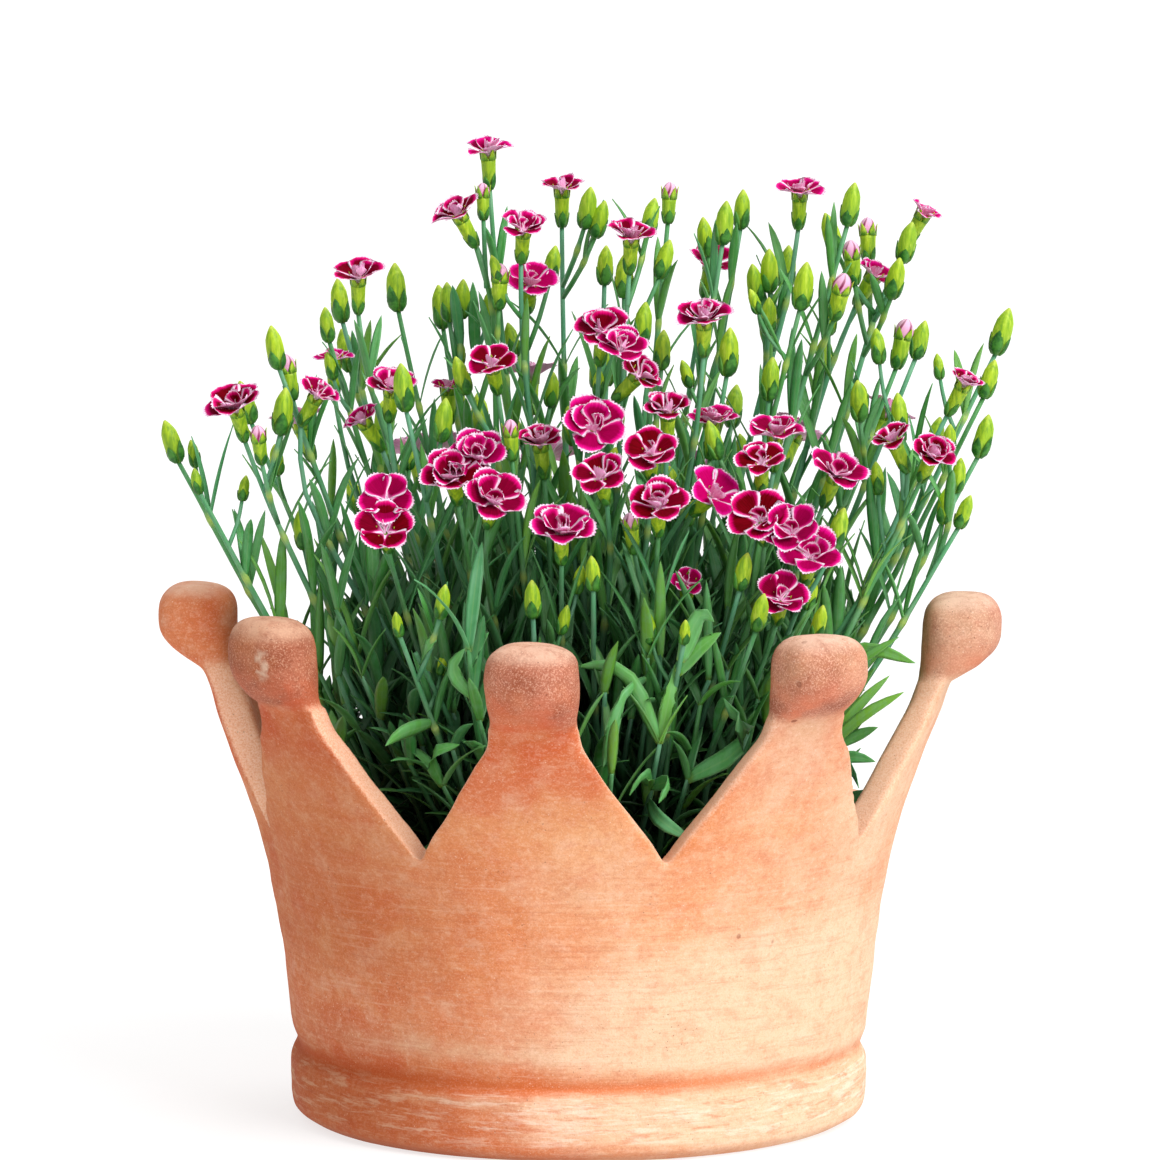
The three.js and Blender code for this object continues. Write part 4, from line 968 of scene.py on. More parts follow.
def make_soil():
    """Lumpy potting soil, a little below the notches."""
    rings, edge, angles = SOIL["rings"], SOIL["edge"], circle(SOIL["sides"])
    radii = np.concatenate([[edge, edge + 0.4], np.linspace(edge - 0.1, SOIL["hole"], rings)])
    heights = np.concatenate([[SOIL["bottom"], SOIL_TOP - 3], np.full(rings, SOIL_TOP + 0.5)])
    points = np.stack(np.broadcast_arrays(
        radii[:, None] * np.cos(angles), radii[:, None] * np.sin(angles), heights[:, None],
    ), -1)
    flat = points[2:].reshape(-1, 3)
    lumps = 1.6 * ripples(flat, 26, 11) + 0.9 * ripples(flat, 9, 12) + 0.5 * ripples(flat, 4.5, 13)
    points[2:, :, 2] += (lumps - 1.0).reshape(rings, -1)
    soup = Soup()
    soup.loft(points, (0, 0, SOIL["bottom"]), (0, 0, SOIL_TOP))
    return soup.make("soil_surface", soil_material(), angle=0)


# ---------------------------------------------------------------- green parts

UP = np.array((0, 0, 1.0))

# The ring round a blade: across its top from one edge to the other, and back underneath.
BLADE_ACROSS = np.array((1, 0.5, 0, -0.5, -1, -0.5, 0, 0.5))
BLADE_SIDE = np.array((0, 1, 1, 1, 0, -1, -1, -1))
BLADE_STATIONS = np.array((0, 0.09, 0.22, 0.38, 0.54, 0.7, 0.84, 0.94, 0.99))
BLADE_WIDTHS = (0.5 + 0.5 * np.sin(np.minimum(1, BLADE_STATIONS / 0.4) * math.pi / 2)) * (
    1 - np.maximum(0, (BLADE_STATIONS - 0.4) / 0.6) ** 3.2
)
BLADE = {"steps": 24, "thick": 0.55, "narrowest": 0.12, "tip": 0.4, "inner_shade": 6}
LEAF_TRIES = {"count": 5, "turn": 1.1, "lean": 0.8}

# Leaves: the range of each draw, the factor for it at a shoot's foot, and how much less that is at its top.
STEM_LEAF = {
    "length": (0.85, 1.15, 62, 32), "width": (0.85, 1.15, 6.4, 3.2), "lean": (9, 24, 1, 0),
    "droop": (0.1, 0.7, 1.1, 0.5),
}
TUFT_LEAF = {
    "length": (0.8, 1.15, 62, 18), "width": (5.2, 7.6, 1, 0.15), "lean": (12, 34, 1.2, 0.5),
    "droop": (0.2, 1.0, 1.15, 0.6),
}
SKIRT_LEAF = {
    **TUFT_LEAF, "length": (0.8, 1.15, 46, 18), "lean": (20, 55, 1.2, 0.5), "droop": (0.2, 1.3, 1.15, 0.6),
}

# Stems: how far below the head the last joint is, how leafy it is beside a main stem, and its radii.
STEM = {"bare": 22, "leafy": 1, "foot": 1.95, "top": 1}
BRANCH_STEM = {"bare": 8, "leafy": 0.7, "foot": 1.15, "top": 0.95}
SIDE_STEM = {"bare": 12, "leafy": 0.55, "foot": 1, "top": 0.8}
TUFT_STEM = {"foot": 1.7, "top": 1}
JOINT = {"reach": 2.6, "swell": 0.36, "rings": np.array((-4, -1.6, 0, 1.6, 4))}

# Where leaves have room: the wall's inner radius, and half the width of a point in degrees, by height.
ROOM_RADII = ((13, 40, 125, 203, 226), (98, 108.5, 121.8, 149.5, 151))
POINT_HALVES = ((126, 176, 184, 226), (22, 7.5, 7.5, 8.5))
NO_WALL = 99.0

BUD_STATIONS = np.array((0, 0.05, 0.13, 0.24, 0.38, 0.54, 0.7, 0.8, 0.88, 0.94, 0.985))
# Outlines: shares of the length, and how wide it is there.
BUD_OUTLINE = (
    (0, 0.04, 0.12, 0.28, 0.5, 0.7, 0.84, 0.94, 1), (0.4, 0.62, 0.84, 0.98, 1, 0.88, 0.6, 0.28, 0.05),
)
CALYX_OUTLINE = np.array(((0, 0.08, 0.2, 0.4, 0.62, 0.82, 1), (0.42, 0.62, 0.78, 0.92, 0.97, 1, 1.08)))
ROLLED_OUTLINE = np.array((
    (0, 0.2, 0.4, 0.58, 0.74, 0.86, 0.95, 0.99), (0.8, 0.94, 1, 0.97, 0.82, 0.6, 0.34, 0.1),
))
SCALE_OUTLINE = np.array(((0, 0.2, 0.42, 0.64, 0.84, 0.97), (0.75, 1, 1, 0.76, 0.42, 0.08)))
TOOTH_OUTLINE = np.array(((0, 0.3, 0.6, 0.85, 0.98), (0.95, 0.85, 0.55, 0.25, 0.08)))
SCALES = {
    "count": 4, "shorter": 0.82, "lift": 0.28, "sink": 0.12, "width": 0.74, "thick": 0.45, "fold": -0.34,
}
TEETH = {"count": 5, "length": 5.2, "flare": 0.2, "lift": 0.1, "width": 0.62, "thick": 0.4, "fold": -0.3}
RIBS = 5


def columns(*values):
    """Numbers side by side in rows. A single number is the same in every row."""
    return np.stack(np.broadcast_arrays(*values), -1)


def sample(at, places, points):
    return np.stack([np.interp(at, places, column) for column in np.asarray(points).T], -1)


def curve_through(points, shares):
    """Places along a smooth curve through the points, at shares of its length."""
    dense = np.array(smooth_profile(points, 3.0))
    steps = np.concatenate([[0], np.cumsum(np.linalg.norm(np.diff(dense, axis=0), axis=1))])
    return sample(np.asarray(shares) * steps[-1], steps, dense)


def length_of(points):
    return float(np.sum(np.linalg.norm(np.diff(points, axis=0), axis=1)))


def tangents(path):
    return unit(np.gradient(path, axis=0))


def across_of(axis):
    side = unit(np.cross((0.31, 0.95, 0.0), axis))
    return side, np.cross(axis, side)


def toward(side, up, angle):
    angle = np.asarray(angle)[..., None]
    return np.cos(angle) * side + np.sin(angle) * up


def tube(soup, path, radii, sides, blade, look=(0, 0, 0), rib=0.0):
    """A closed tube along a path, with five ribs if rib isn't 0. blade and look are for each of its rings."""
    along, angles = tangents(path), circle(sides)
    side, up = across_of(along)
    out = toward(side[:, None], up[:, None], angles) * (1 + rib * np.cos(RIBS * angles))[:, None]
    values = {}
    for name, value in (("blade", blade), ("look", look)):
        value = np.broadcast_to(value, (len(path), 3))
        around = np.repeat(value, sides, axis=0)
        if rib and name == "blade":
            around[:, 1] = np.tile(0.5 - 0.5 * np.cos(RIBS * angles), len(path))
        values[name] = np.concatenate([around, value[[0, -1]]])
    soup.loft(
        path[:, None] + radii[:, None, None] * out,
        path[0] - along[0] * 0.02, path[-1] + along[-1] * 0.02, **values,
    )


def strap(soup, path, side, normal, half_widths, thick, fold, draw, look):
    """A thin closed blade along a path, folded along its middle. side and normal may differ along it."""
    side, normal = (np.broadcast_to(vector, path.shape)[:, None] for vector in (side, normal))
    depth = BLADE_SIDE * (1 - BLADE_ACROSS**2) * 0.5
    rise = half_widths[:, None] * fold * BLADE_ACROSS**2 + thick * depth
    rings = path[:, None] + side * (half_widths[:, None] * BLADE_ACROSS)[..., None] + normal * rise[..., None]
    blade = columns(np.linspace(0, 1, len(path))[:, None], BLADE_ACROSS, draw).reshape(-1, 3)
    blade = np.concatenate([blade, [(0, 0, draw), (1, 0, draw)]])
    soup.loft(rings, path[0], path[-1] + unit(path[-1] - path[-2]) * BLADE["tip"], blade=blade, look=look)


def leaf_path(foot, azimuth, size):
    """A leaf's middle line: it leaves its stem at a lean from upright and bends outward as it goes."""
    steps = BLADE["steps"]
    share = (np.arange(steps) + 0.5) / steps
    angle = math.radians(size["lean"]) + size["droop"] * share**1.4
    heading = toward(UP, (math.cos(azimuth), math.sin(azimuth), 0), angle)
    dense = np.concatenate([[foot], foot + np.cumsum(heading, axis=0) * (size["length"] / steps)])
    return sample(BLADE_STATIONS * steps, np.arange(steps + 1), dense)


def leaf(soup, path, azimuth, width, fold, twist, draw, look, roll=0.0):
    heading = tangents(path)
    level = np.array((-math.sin(azimuth), math.cos(azimuth), 0))
    side = unit(np.cross(UP, heading) + 1e-9 * level)
    side = np.where((side @ level)[:, None] < 0, -side, side)
    normal = np.cross(heading, side)
    turn = (roll + twist * BLADE_STATIONS)[:, None]
    c, s = np.cos(turn), np.sin(turn)
    half = np.maximum(BLADE_WIDTHS * width / 2, BLADE["narrowest"])
    strap(soup, path, side * c + normal * s, normal * c - side * s, half, BLADE["thick"], fold, draw, look)


def wall_room(point):
    """How far a point is inside the planter's inner wall, where the wall stands that high."""
    height = point[2]
    if height > ROOM_RADII[0][-1]:
        return NO_WALL
    x, y, _ = turned(np.array([point]), PLANT_TURN)[0]
    if height > VALLEY_HEIGHT + 6:
        bearing = math.degrees(math.atan2(x, -y)) % 360
        gap = min(abs((bearing - b + 180) % 360 - 180) for b in POINT_BEARINGS)
        if gap > np.interp(height, *POINT_HALVES) + 2.5:
            return NO_WALL
    return np.interp(height, *ROOM_RADII) - math.hypot(x, y)


def clear_of(path, spots):
    """Whether a path stays inside the planter, above the soil and off the heads."""
    if any(wall_room(point) < ROOM["leaf"] or point[2] < SOIL_TOP + 2 for point in path[2::2]):
        return False
    away = np.linalg.norm(path[1:, None] - spots[None, :, :3], axis=-1) - spots[:, 3]
    return np.min(away) > ROOM["leaf"]


def inner_shade_at(points):
    """Painted shade for leaves and stems: 0 out in the light, 1 deep inside the clumps."""
    height, radius = points[..., 2], np.hypot(points[..., 0], points[..., 1])
    low, deep = smoothstep(height, 292, 176), smoothstep(height, 186, 134)
    inner = 1 - smoothstep(radius / (100 + 0.3 * (height - SOIL_TOP)), 0.62, 1.02)
    return np.clip(0.1 * low + 0.82 * low * inner + 0.14 * inner + 0.4 * deep, 0, 1)


def grow_leaf(bed, foot, azimuth, size):
    """A leaf, turned and raised a few times until it has room. One that finds none is left out."""
    for _ in range(LEAF_TRIES["count"]):
        path = leaf_path(foot, azimuth, size)
        if clear_of(path, bed.spots):
            inner_shade = inner_shade_at(path[BLADE["inner_shade"]])
            look = (size["tone"], inner_shade, size["fresh"] * (1 - inner_shade))
            width, fold, twist = size["width"], size["fold"], size["twist"]
            leaf(bed.soups["leaves"], path, azimuth, width, fold, twist, bed.uniform(), look)
            return
        azimuth += LEAF_TRIES["turn"]
        size = {**size, "lean": size["lean"] * LEAF_TRIES["lean"]}


def leaf_pair(bed, kind, foot, azimuth, up, tone, stray, leafy=1):
    """Two leaves on opposite sides of a shoot, at a share of the way up it."""
    size = {key: bed.uniform(low, high) * (most - less * up) for key, (low, high, most, less) in kind.items()}
    size["length"] *= leafy
    size["tone"] = np.clip(tone + bed.uniform(-stray, stray), 0, 1)
    young = bed.uniform() < 0.24  # most leaves are blue-green, and some are a young yellow-green
    size["fresh"] = bed.uniform(0.5, 1.0) if young else bed.uniform(0.0, 0.35)
    for half in (0, math.pi):
        one = {
            **size, "length": size["length"] * bed.uniform(0.88, 1.12),
            "lean": size["lean"] * bed.uniform(0.8, 1.25), "droop": size["droop"] + bed.uniform(-0.15, 0.2),
            "twist": bed.uniform(-0.5, 0.5), "fold": bed.uniform(0.15, 0.45),
        }
        grow_leaf(bed, foot, azimuth + half + bed.uniform(-0.25, 0.25), one)


def stem_tube(bed, path, near, kind, sides):
    """A stem with swollen joints: near is 1 at a joint and 0 away from one."""
    radii = np.linspace(kind["foot"], kind["top"], len(path)) * (1 + JOINT["swell"] * near)
    rise = np.clip((path[:, 2] - SOIL_TOP) / 200, 0, 1)
    look = columns(inner_shade_at(path), 0, 0)
    tube(bed.soups["stems"], path, radii, sides, columns(near, rise, bed.uniform()), look)


def grow_stem(bed, points, kind=STEM):
    """A stem through the points, with its joints and its leaves in crossed pairs."""
    length = length_of(points)
    joints, at = [], bed.uniform(14, 26)
    while at < length - kind["bare"]:
        joints.append(at)
        at += bed.uniform(27, 40)
    shares = set(np.linspace(0, 1, max(5, int(length / 14))))
    for joint in joints:
        shares.update(np.clip((joint + JOINT["rings"]) / length, 0, 1))
    path = curve_through(points, sorted(shares))
    feet = curve_through(points, np.array(joints) / length)
    near = np.zeros(len(path))
    for foot in feet:
        near = np.maximum(near, hump(np.linalg.norm(path - foot, axis=1), 0, JOINT["reach"]))
    stem_tube(bed, path, near, kind, 7)
    azimuth, tone = bed.uniform(0, math.pi), bed.uniform(0.2, 1.0)
    for joint, foot in zip(joints, feet):
        leaf_pair(bed, STEM_LEAF, foot, azimuth, joint / length, tone, 0.25, kind["leafy"])
        azimuth += math.pi / 2 + bed.uniform(-0.3, 0.3)


def grow_tuft_shoot(bed, points, kind):
    """A leafy shoot without a head."""
    length = length_of(points)
    count = max(3, int(length / bed.uniform(17, 24)))
    path = curve_through(points, np.linspace(0, 1, max(6, int(length / 10))))
    stem_tube(bed, path, np.zeros(len(path)), TUFT_STEM, 6)
    azimuth, tone = bed.uniform(0, math.pi), bed.uniform(0.1, 0.9)
    for k, foot in enumerate(curve_through(points, np.linspace(0.1, 0.99, count))):
        leaf_pair(bed, kind, foot, azimuth, k / (count - 1), tone, 0.2)
        azimuth += math.pi / 2 + bed.uniform(-0.35, 0.35)


# ---------------------------------------------------------------- buds and calyces

def hug(bed, foot, axis, out, stations, length, radii, half_widths, shape, look):
    """A scale or tooth that hugs a bud or calyx on the side that out points to."""
    path = foot + stations[:, None] * length * axis + radii[:, None] * out
    around = np.cross(axis, out)
    strap(bed.soups["buds"], path, around, out, half_widths, shape["thick"], shape["fold"], look[2], look)


def grow_scales(bed, foot, axis, length, radius_at, draw):
    """The two pairs of small scales round the foot of a bud or calyx."""
    first = bed.uniform(0, math.pi)
    u, wide = SCALE_OUTLINE
    for k in range(SCALES["count"]):
        out = toward(*across_of(axis), first + k * math.pi / 2)
        size = 1.0 if k % 2 else SCALES["shorter"]
        radii = radius_at(u * size) + SCALES["lift"] - SCALES["sink"] * u
        half = wide * radii * SCALES["width"]
        hug(bed, foot, axis, out, u, size * length, radii, half, SCALES, (0, 1, draw))


def grow_bud(bed, foot, axis, size):
    length, radius = BUD["length"] * size, BUD["width"] * size / 2
    bend = toward(*across_of(axis), bed.uniform(0, TURN)) * bed.uniform(0.3, 1.0)
    u = BUD_STATIONS[:, None]
    draw = bed.uniform()
    radii = np.interp(BUD_STATIONS, *BUD_OUTLINE) * radius
    path, blade = foot + u * length * axis + u**2 * bend, columns(BUD_STATIONS, 0, draw)
    tube(bed.soups["buds"], path, radii, 15, blade, (0, 0, draw), 0.045)
    part = bed.uniform(0.44, 0.58)
    grow_scales(bed, foot, axis, length * part, lambda u: np.interp(u * part, *BUD_OUTLINE) * radius, draw)


def grow_calyx(bed, foot, axis, length, radius):
    u, wide = CALYX_OUTLINE
    draw = bed.uniform()
    path = foot + u[:, None] * length * axis
    tube(bed.soups["buds"], path, wide * radius, 15, columns(u * 0.8, 0, draw), (0, 0, draw), 0.03)
    grow_scales(bed, foot, axis, length * 0.55, lambda u: np.interp(u * 0.55, *CALYX_OUTLINE) * radius, draw)
    u, wide = TOOTH_OUTLINE
    foot, radius = foot + axis * length * 0.94, radius * 1.04
    radii, half = radius * (1 + TEETH["flare"] * u**1.5) + TEETH["lift"], wide * radius * TEETH["width"]
    for k in range(TEETH["count"]):
        out = toward(*across_of(axis), TURN * (k + 0.5) / TEETH["count"])
        hug(bed, foot, axis, out, u, TEETH["length"], radii, half, TEETH, (0, 0, draw))


def grow_opening_bud(bed, foot, axis, size):
    """A calyx with its teeth apart, and the rolled petals that stand out of it."""
    length, radius = OPENING_CALYX["length"] * size, OPENING_CALYX["radius"] * size
    grow_calyx(bed, foot, axis, length, radius)
    u, wide = ROLLED_OUTLINE[..., None]
    angles = circle(30)
    roll = RIBS * angles - 4.2 * u + bed.uniform(0, 6)
    fold = 0.5 + 0.5 * np.cos(roll + 0.8 * np.sin(roll))
    path = foot + axis * (length * 0.86 + u * OPENING_CALYX["petals"] * size)
    rings = path[:, None] + (wide * radius * (1 + 0.1 * fold))[..., None] * toward(*across_of(axis), angles)
    blade = np.concatenate([columns(u, fold, 0.5).reshape(-1, 3), [(0, 0, 0.5), (1, 0, 0.5)]])
    bed.soups["buds"].loft(rings, path[0], path[-1] + axis * 0.1, blade=blade, look=(1, 0, 0.5))


# ---------------------------------------------------------------- blooms

PETALS_ROUND = 5
PETAL_ALONG = np.array((0, 0.14, 0.3, 0.48, 0.66, 0.82, 0.93, 1.0))[:, None]
PETAL_WIDTHS = np.array((0.045, 0.07, 0.19, 0.34, 0.445, 0.49, 0.475, 0.42))[:, None]
PETAL_COLUMNS = 19
CLAW = {"length": 0.2, "angle": 66, "out": 0.06, "down": 0.16}
PETAL = {"round": 0.93, "back": 0.48, "tooth": 0.035, "thick": 0.34, "thinner": 0.55}

# The rings of a corolla: length beside its radius, rise at the foot and at the rim, width, curl and cup.
LAYERS = [
    {"length": 1.08, "rise": 34, "end": 6, "width": 1.02, "curl": 0.15, "cup": 0.12, "loose": 0.06},
    {"length": 0.84, "rise": 54, "end": 34, "width": 0.88, "curl": 0.5, "cup": 0.25, "loose": 0.25},
    {"length": 0.6, "rise": 80, "end": 84, "width": 0.62, "curl": 1.0, "cup": 0.4, "loose": 0.6},
]
LAYER_TURN = 0.63

# How far each petal strays from its layer, in the order of its draws.
PETAL_RANGES = {
    "length": (0.93, 1.04), "end": (-14, 12), "width": (0.92, 1.08), "cup": (-0.12, 0.16),
    "wave": (0.01, 0.06), "phase": (0, 6.28), "curl": (0.4, 1.3), "tone": (-0.12, 0.12),
}


@functools.lru_cache(maxsize=None)
def petal_faces(rows, width):
    """Faces of a closed sheet: rings that run over the top and back underneath, with both ends stitched."""
    sides = 2 * width - 2
    quads, _ = sleeve(rows, sides, False)
    extra, triangles = [], []
    for base, way in ((0, 1), ((rows - 1) * sides, -1)):
        for k in range(width - 1):
            face = [base + k, base + k + 1, base + sides - k - 1, base + (sides - k) % sides]
            face = list(dict.fromkeys(face))[::way]  # at either edge two corners are the same
            (extra if len(face) == 4 else triangles).append(face)
    return np.concatenate([quads, extra]), np.array(triangles)


def over_and_under(top, under):
    return np.concatenate([top, under[:, -2:0:-1]], axis=1).reshape(-1, 3)


def petal(soup, centre, axis, side, radius, size, random):
    """One toothed petal. side points outward along it, and size sets how it rises, curls and is cupped."""
    t, s = PETAL_ALONG, np.linspace(1, -1, PETAL_COLUMNS)
    limb = np.clip((t - CLAW["length"]) / (1 - CLAW["length"]), 0, 1)
    length, wide = radius * size["length"], PETAL_WIDTHS * radius * size["width"]
    angle = size["rise"] + (size["end"] - size["rise"]) * limb**1.3
    angle = np.radians(np.where(t <= CLAW["length"], CLAW["angle"], angle))
    cos, sin = np.cos(angle), np.sin(angle)
    steps = np.diff(t, axis=0, prepend=0) * length
    out = CLAW["out"] * radius + np.cumsum(steps * cos, axis=0)
    up = -CLAW["down"] * radius + np.cumsum(steps * sin, axis=0)
    teeth = np.where(np.arange(PETAL_COLUMNS) % 2, -1, 1) * random.uniform(0.3, 1.2, PETAL_COLUMNS)
    slide = -PETAL["back"] * length * limb**1.4 * (1 - np.sqrt(1 - PETAL["round"] * s**2))
    slide[-1] += teeth * PETAL["tooth"] * radius
    cup = size["cup"] * s**2 * wide * (0.25 + 0.75 * limb)
    wave = size["wave"] * radius * np.sin(3.1 * s + size["phase"]) * limb**2
    frill = 0.014 * radius * np.sin(10 * s + 2.1 * size["phase"]) * limb**3
    x = s * wide
    bend = x / (radius * 0.5) * size["curl"]
    lift = cup + wave + frill + x * np.tan(np.clip(bend, -1.2, 1.2) / 2)
    x = x * np.sinc(bend / math.pi)
    reach, height = out + slide * cos - lift * sin, up + slide * sin + lift * cos
    top = centre + reach[..., None] * side + height[..., None] * axis + x[..., None] * np.cross(axis, side)
    thick = PETAL["thick"] * (1 - PETAL["thinner"] * limb)
    under = top - (thick * (cos * axis - sin * side))[:, None]
    edge = np.minimum((1 - np.abs(s)) * wide * 1.3, (1 - t) * length) / radius
    place = columns(s, t, random.uniform())
    look = over_and_under(*(columns(edge, below, size["tone"]) for below in (0, 1)))
    faces = petal_faces(len(t), PETAL_COLUMNS)
    soup.add(over_and_under(top, under), *faces, petal=over_and_under(place, place), look=look)


def grow_corolla(soup, threads, centre, axis, width, random, tone, second, upright):
    """The petals of a bloom in up to three layers, and its two styles."""
    radius = width / 2
    first = random.uniform(0, TURN)
    slots = [range(PETALS_ROUND), *(random.permutation(PETALS_ROUND)[:count] for count in (second, upright))]
    for level, (layer, places) in enumerate(zip(LAYERS, slots)):
        for k, place in enumerate(places):
            stray = random.uniform(-layer["loose"], layer["loose"])
            angle = first + LAYER_TURN * level + TURN * (place + stray) / PETALS_ROUND
            lift = random.uniform(-9, 12)
            drawn = {key: random.uniform(*ends) for key, ends in PETAL_RANGES.items()}
            size = {
                **{key: layer[key] * drawn[key] for key in ("length", "width", "curl")},
                "rise": layer["rise"] + lift, "end": layer["end"] + lift + drawn["end"],
                "cup": layer["cup"] + drawn["cup"], "wave": drawn["wave"], "phase": drawn["phase"],
                "tone": np.clip(tone + drawn["tone"], 0, 1),
            }
            foot = centre + axis * (0.5 * level + 0.12 * (k % 2))
            petal(soup, foot, axis, toward(*across_of(axis), angle), radius, size, random)
    u = np.linspace(0, 1, 7)
    for _ in range(2):
        out = toward(*across_of(axis), random.uniform(0, TURN))
        rise, reach = radius * (-0.1 + 0.5 * u - 0.12 * u**3), radius * (0.02 + 0.24 * u**1.6)
        tube(threads, centre + axis * rise[:, None] + out * reach[:, None], 0.24 - 0.1 * u, 6, (0, 0, 0))


def turned_up(vector, axis):
    """The vector after the shortest turn that takes the upright direction to the axis."""
    pivot = np.cross(UP, axis)
    return vector * axis[2] + np.cross(pivot, vector) + pivot * np.dot(pivot, vector) / (1 + axis[2])


# ---------------------------------------------------------------- growing the plant

BLOOM_SEAT = {"share": 0.085, "gap": 0.4}  # how far below a bloom's centre its calyx ends
BLOOM_STEM = {"bend": 0.22, "straight": 15}
TALL_STEM = 340
SIDE_BUD_SHARES = {"bloom": 0.5, "bud": 0.6}
SIDE_BUD = {"below": (16, 34), "out": (8, 13), "up": (13, 24), "size": (0.55, 0.85), "middle": 8, "tall": 18}
SKIRT_RANGES = ((94, 116), (148, 206), (58, 78))  # how far out a shoot leans, its height, and where it stands
HEAD_SINK = 0.5


class Bed:
    """One clump while it grows: its pieces, its shoots, its draws and the heads that its leaves keep off."""

    def __init__(self, clump, spots):
        self.clump, self.spots, self.shoots = clump, spots, []
        self.soups = {name: Soup("blade", "look") for name in ("stems", "leaves", "buds")}
        self.uniform = np.random.default_rng(SEED + 31 * clump).uniform


def stem_points(foot, clump):
    """A stem's points, from the soil up to the foot of its head."""
    steps = 3 if foot[2] > TALL_STEM else 2
    start = SOIL_TOP + 6
    heights = [SOIL_TOP - 3, *(start + (foot[2] - start) * k / steps for k in range(steps))]
    return [*(shoot_at(ray(foot), clump, height) for height in heights), foot]


def point_on(points, height):
    return sample(height, np.array(points)[:, 2], points)


def axis_from(foot, place, way):
    """The direction from foot to place, drawn upright. way is the share of that direction."""
    return unit(unit(place - foot) * way + (0, 0, 1 - way))


def grow_bloom_stem(bed, head):
    axis = head["axis"]
    depth = BLOOM_SEAT["share"] * head["width"] + BLOOM_SEAT["gap"] + CALYX["length"]
    foot = head["centre"] - axis * depth
    points = stem_points(foot, bed.clump)
    bend = BLOOM_STEM["bend"]
    points.insert(-1, points[-2] * bend + (foot - axis * BLOOM_STEM["straight"]) * (1 - bend))
    grow_stem(bed, points)
    bed.shoots.append(points)
    grow_calyx(bed, foot, axis, **CALYX)
    grow_side_bud(bed, points, SIDE_BUD_SHARES["bloom"])


def grow_bud_stem(bed, head):
    """A bud or opening bud, on a branch of the nearest stem or on a stem of its own."""
    centre, size = head["centre"], head["size"]
    height = centre[2] - BRANCH["below"]
    feet = [point_on(points, height) for points in bed.shoots if height <= points[-1][2] - BRANCH["clear"]]
    feet = [foot for foot in feet if math.dist(foot[:2], centre[:2]) < BRANCH["reach"]]
    if feet:
        foot = min(feet, key=lambda foot: math.dist(foot[:2], centre[:2]))
    else:
        foot = shoot_at(ray(centre), bed.clump, centre[2] - BRANCH["bare"])
    axis = axis_from(foot, centre, 0.6)
    base = centre - axis * (BUD["length"] * size / 2)
    if feet:
        grow_stem(bed, [foot, (foot + base) / 2 - (0, 0, 2), base], BRANCH_STEM)
    else:
        points = stem_points(base, bed.clump)
        grow_stem(bed, points)
        bed.shoots.append(points)
        grow_side_bud(bed, points, SIDE_BUD_SHARES["bud"])
    grow = grow_opening_bud if head["opening"] else grow_bud
    grow(bed, base - axis * HEAD_SINK, axis, size)


def grow_side_bud(bed, points, share):
    """On that share of the stems, a smaller bud on a short branch below the head, where it has room."""
    if bed.uniform() >= share:
        return
    foot = point_on(points, points[-1][2] - bed.uniform(*SIDE_BUD["below"]))
    turn = bed.uniform(0, TURN)
    out = np.array((math.cos(turn), math.sin(turn), 0)) * bed.uniform(*SIDE_BUD["out"])
    base = foot + out + (0, 0, bed.uniform(*SIDE_BUD["up"]))
    size = bed.uniform(*SIDE_BUD["size"])
    axis = axis_from(foot, base, 0.5)
    away = np.linalg.norm(bed.spots[:, :3] - (base + axis * SIDE_BUD["middle"]), axis=1) - bed.spots[:, 3]
    outside = base[2] + SIDE_BUD["tall"] > PLANT_LIMITS["top"] or abs(base[0]) > PLANT_LIMITS["side"]
    if outside or np.min(away) < ROOM["side_bud"]:
        return
    grow_stem(bed, [foot, (foot + base) / 2 + out * 0.16, base], SIDE_STEM)
    grow_bud(bed, base - axis * HEAD_SINK, axis, size)


def grow_tufts(bed):
    """Leafy shoots without heads, which fill the clump from the soil up."""
    made = tries = 0
    while made < TUFTS["shoots"] and tries < TUFTS["tries"]:
        tries += 1
        place = bed.uniform(-165, 165, 2)
        out = np.hypot(*place) / TUFTS["reach"]
        if out > 1 or clump_at(place) != bed.clump:
            continue
        top = bed.uniform(TUFTS["shortest"], TUFTS["tallest"]) - TUFTS["lower_out"] * out**2
        points = [shoot_at(place, bed.clump, height) for height in np.linspace(SOIL_TOP - 2, top, 4)]
        if any(wall_room(point) < ROOM["tuft"] for point in points[1:]):
            continue
        made += 1
        points[-1] = points[-1] + (*bed.uniform(-6, 6, 2), 0)
        bed.shoots.append(points)
        grow_tuft_shoot(bed, points, TUFT_LEAF)


def grow_skirt(bed):
    """Short leafy shoots that lean out from the clump's foot and fill it up to the planter's wall."""
    x, y = CENTRES[bed.clump]
    bearing = math.degrees(math.atan2(x, -y))
    for k in range(SKIRT_SHOOTS):
        out = bearing_vector(bearing + RING_STEP * ((k + 0.5) / SKIRT_SHOOTS - 0.5) + bed.uniform(-4, 4))
        reach, top, start = (bed.uniform(*ends) for ends in SKIRT_RANGES)
        ways = (start, start + 8, 0.45 * start + 0.55 * reach, reach)
        heights = (SOIL_TOP - 2, SOIL_TOP + 12, (SOIL_TOP + top) / 2, top)
        points = [out * way + (0, 0, height) for way, height in zip(ways, heights)]
        if any(wall_room(point) < ROOM["skirt"] for point in points[1:]):
            points[-1] = points[-1] * (0.9, 0.9, 1)
        bed.shoots.append(points)
        grow_tuft_shoot(bed, points, SKIRT_LEAF)


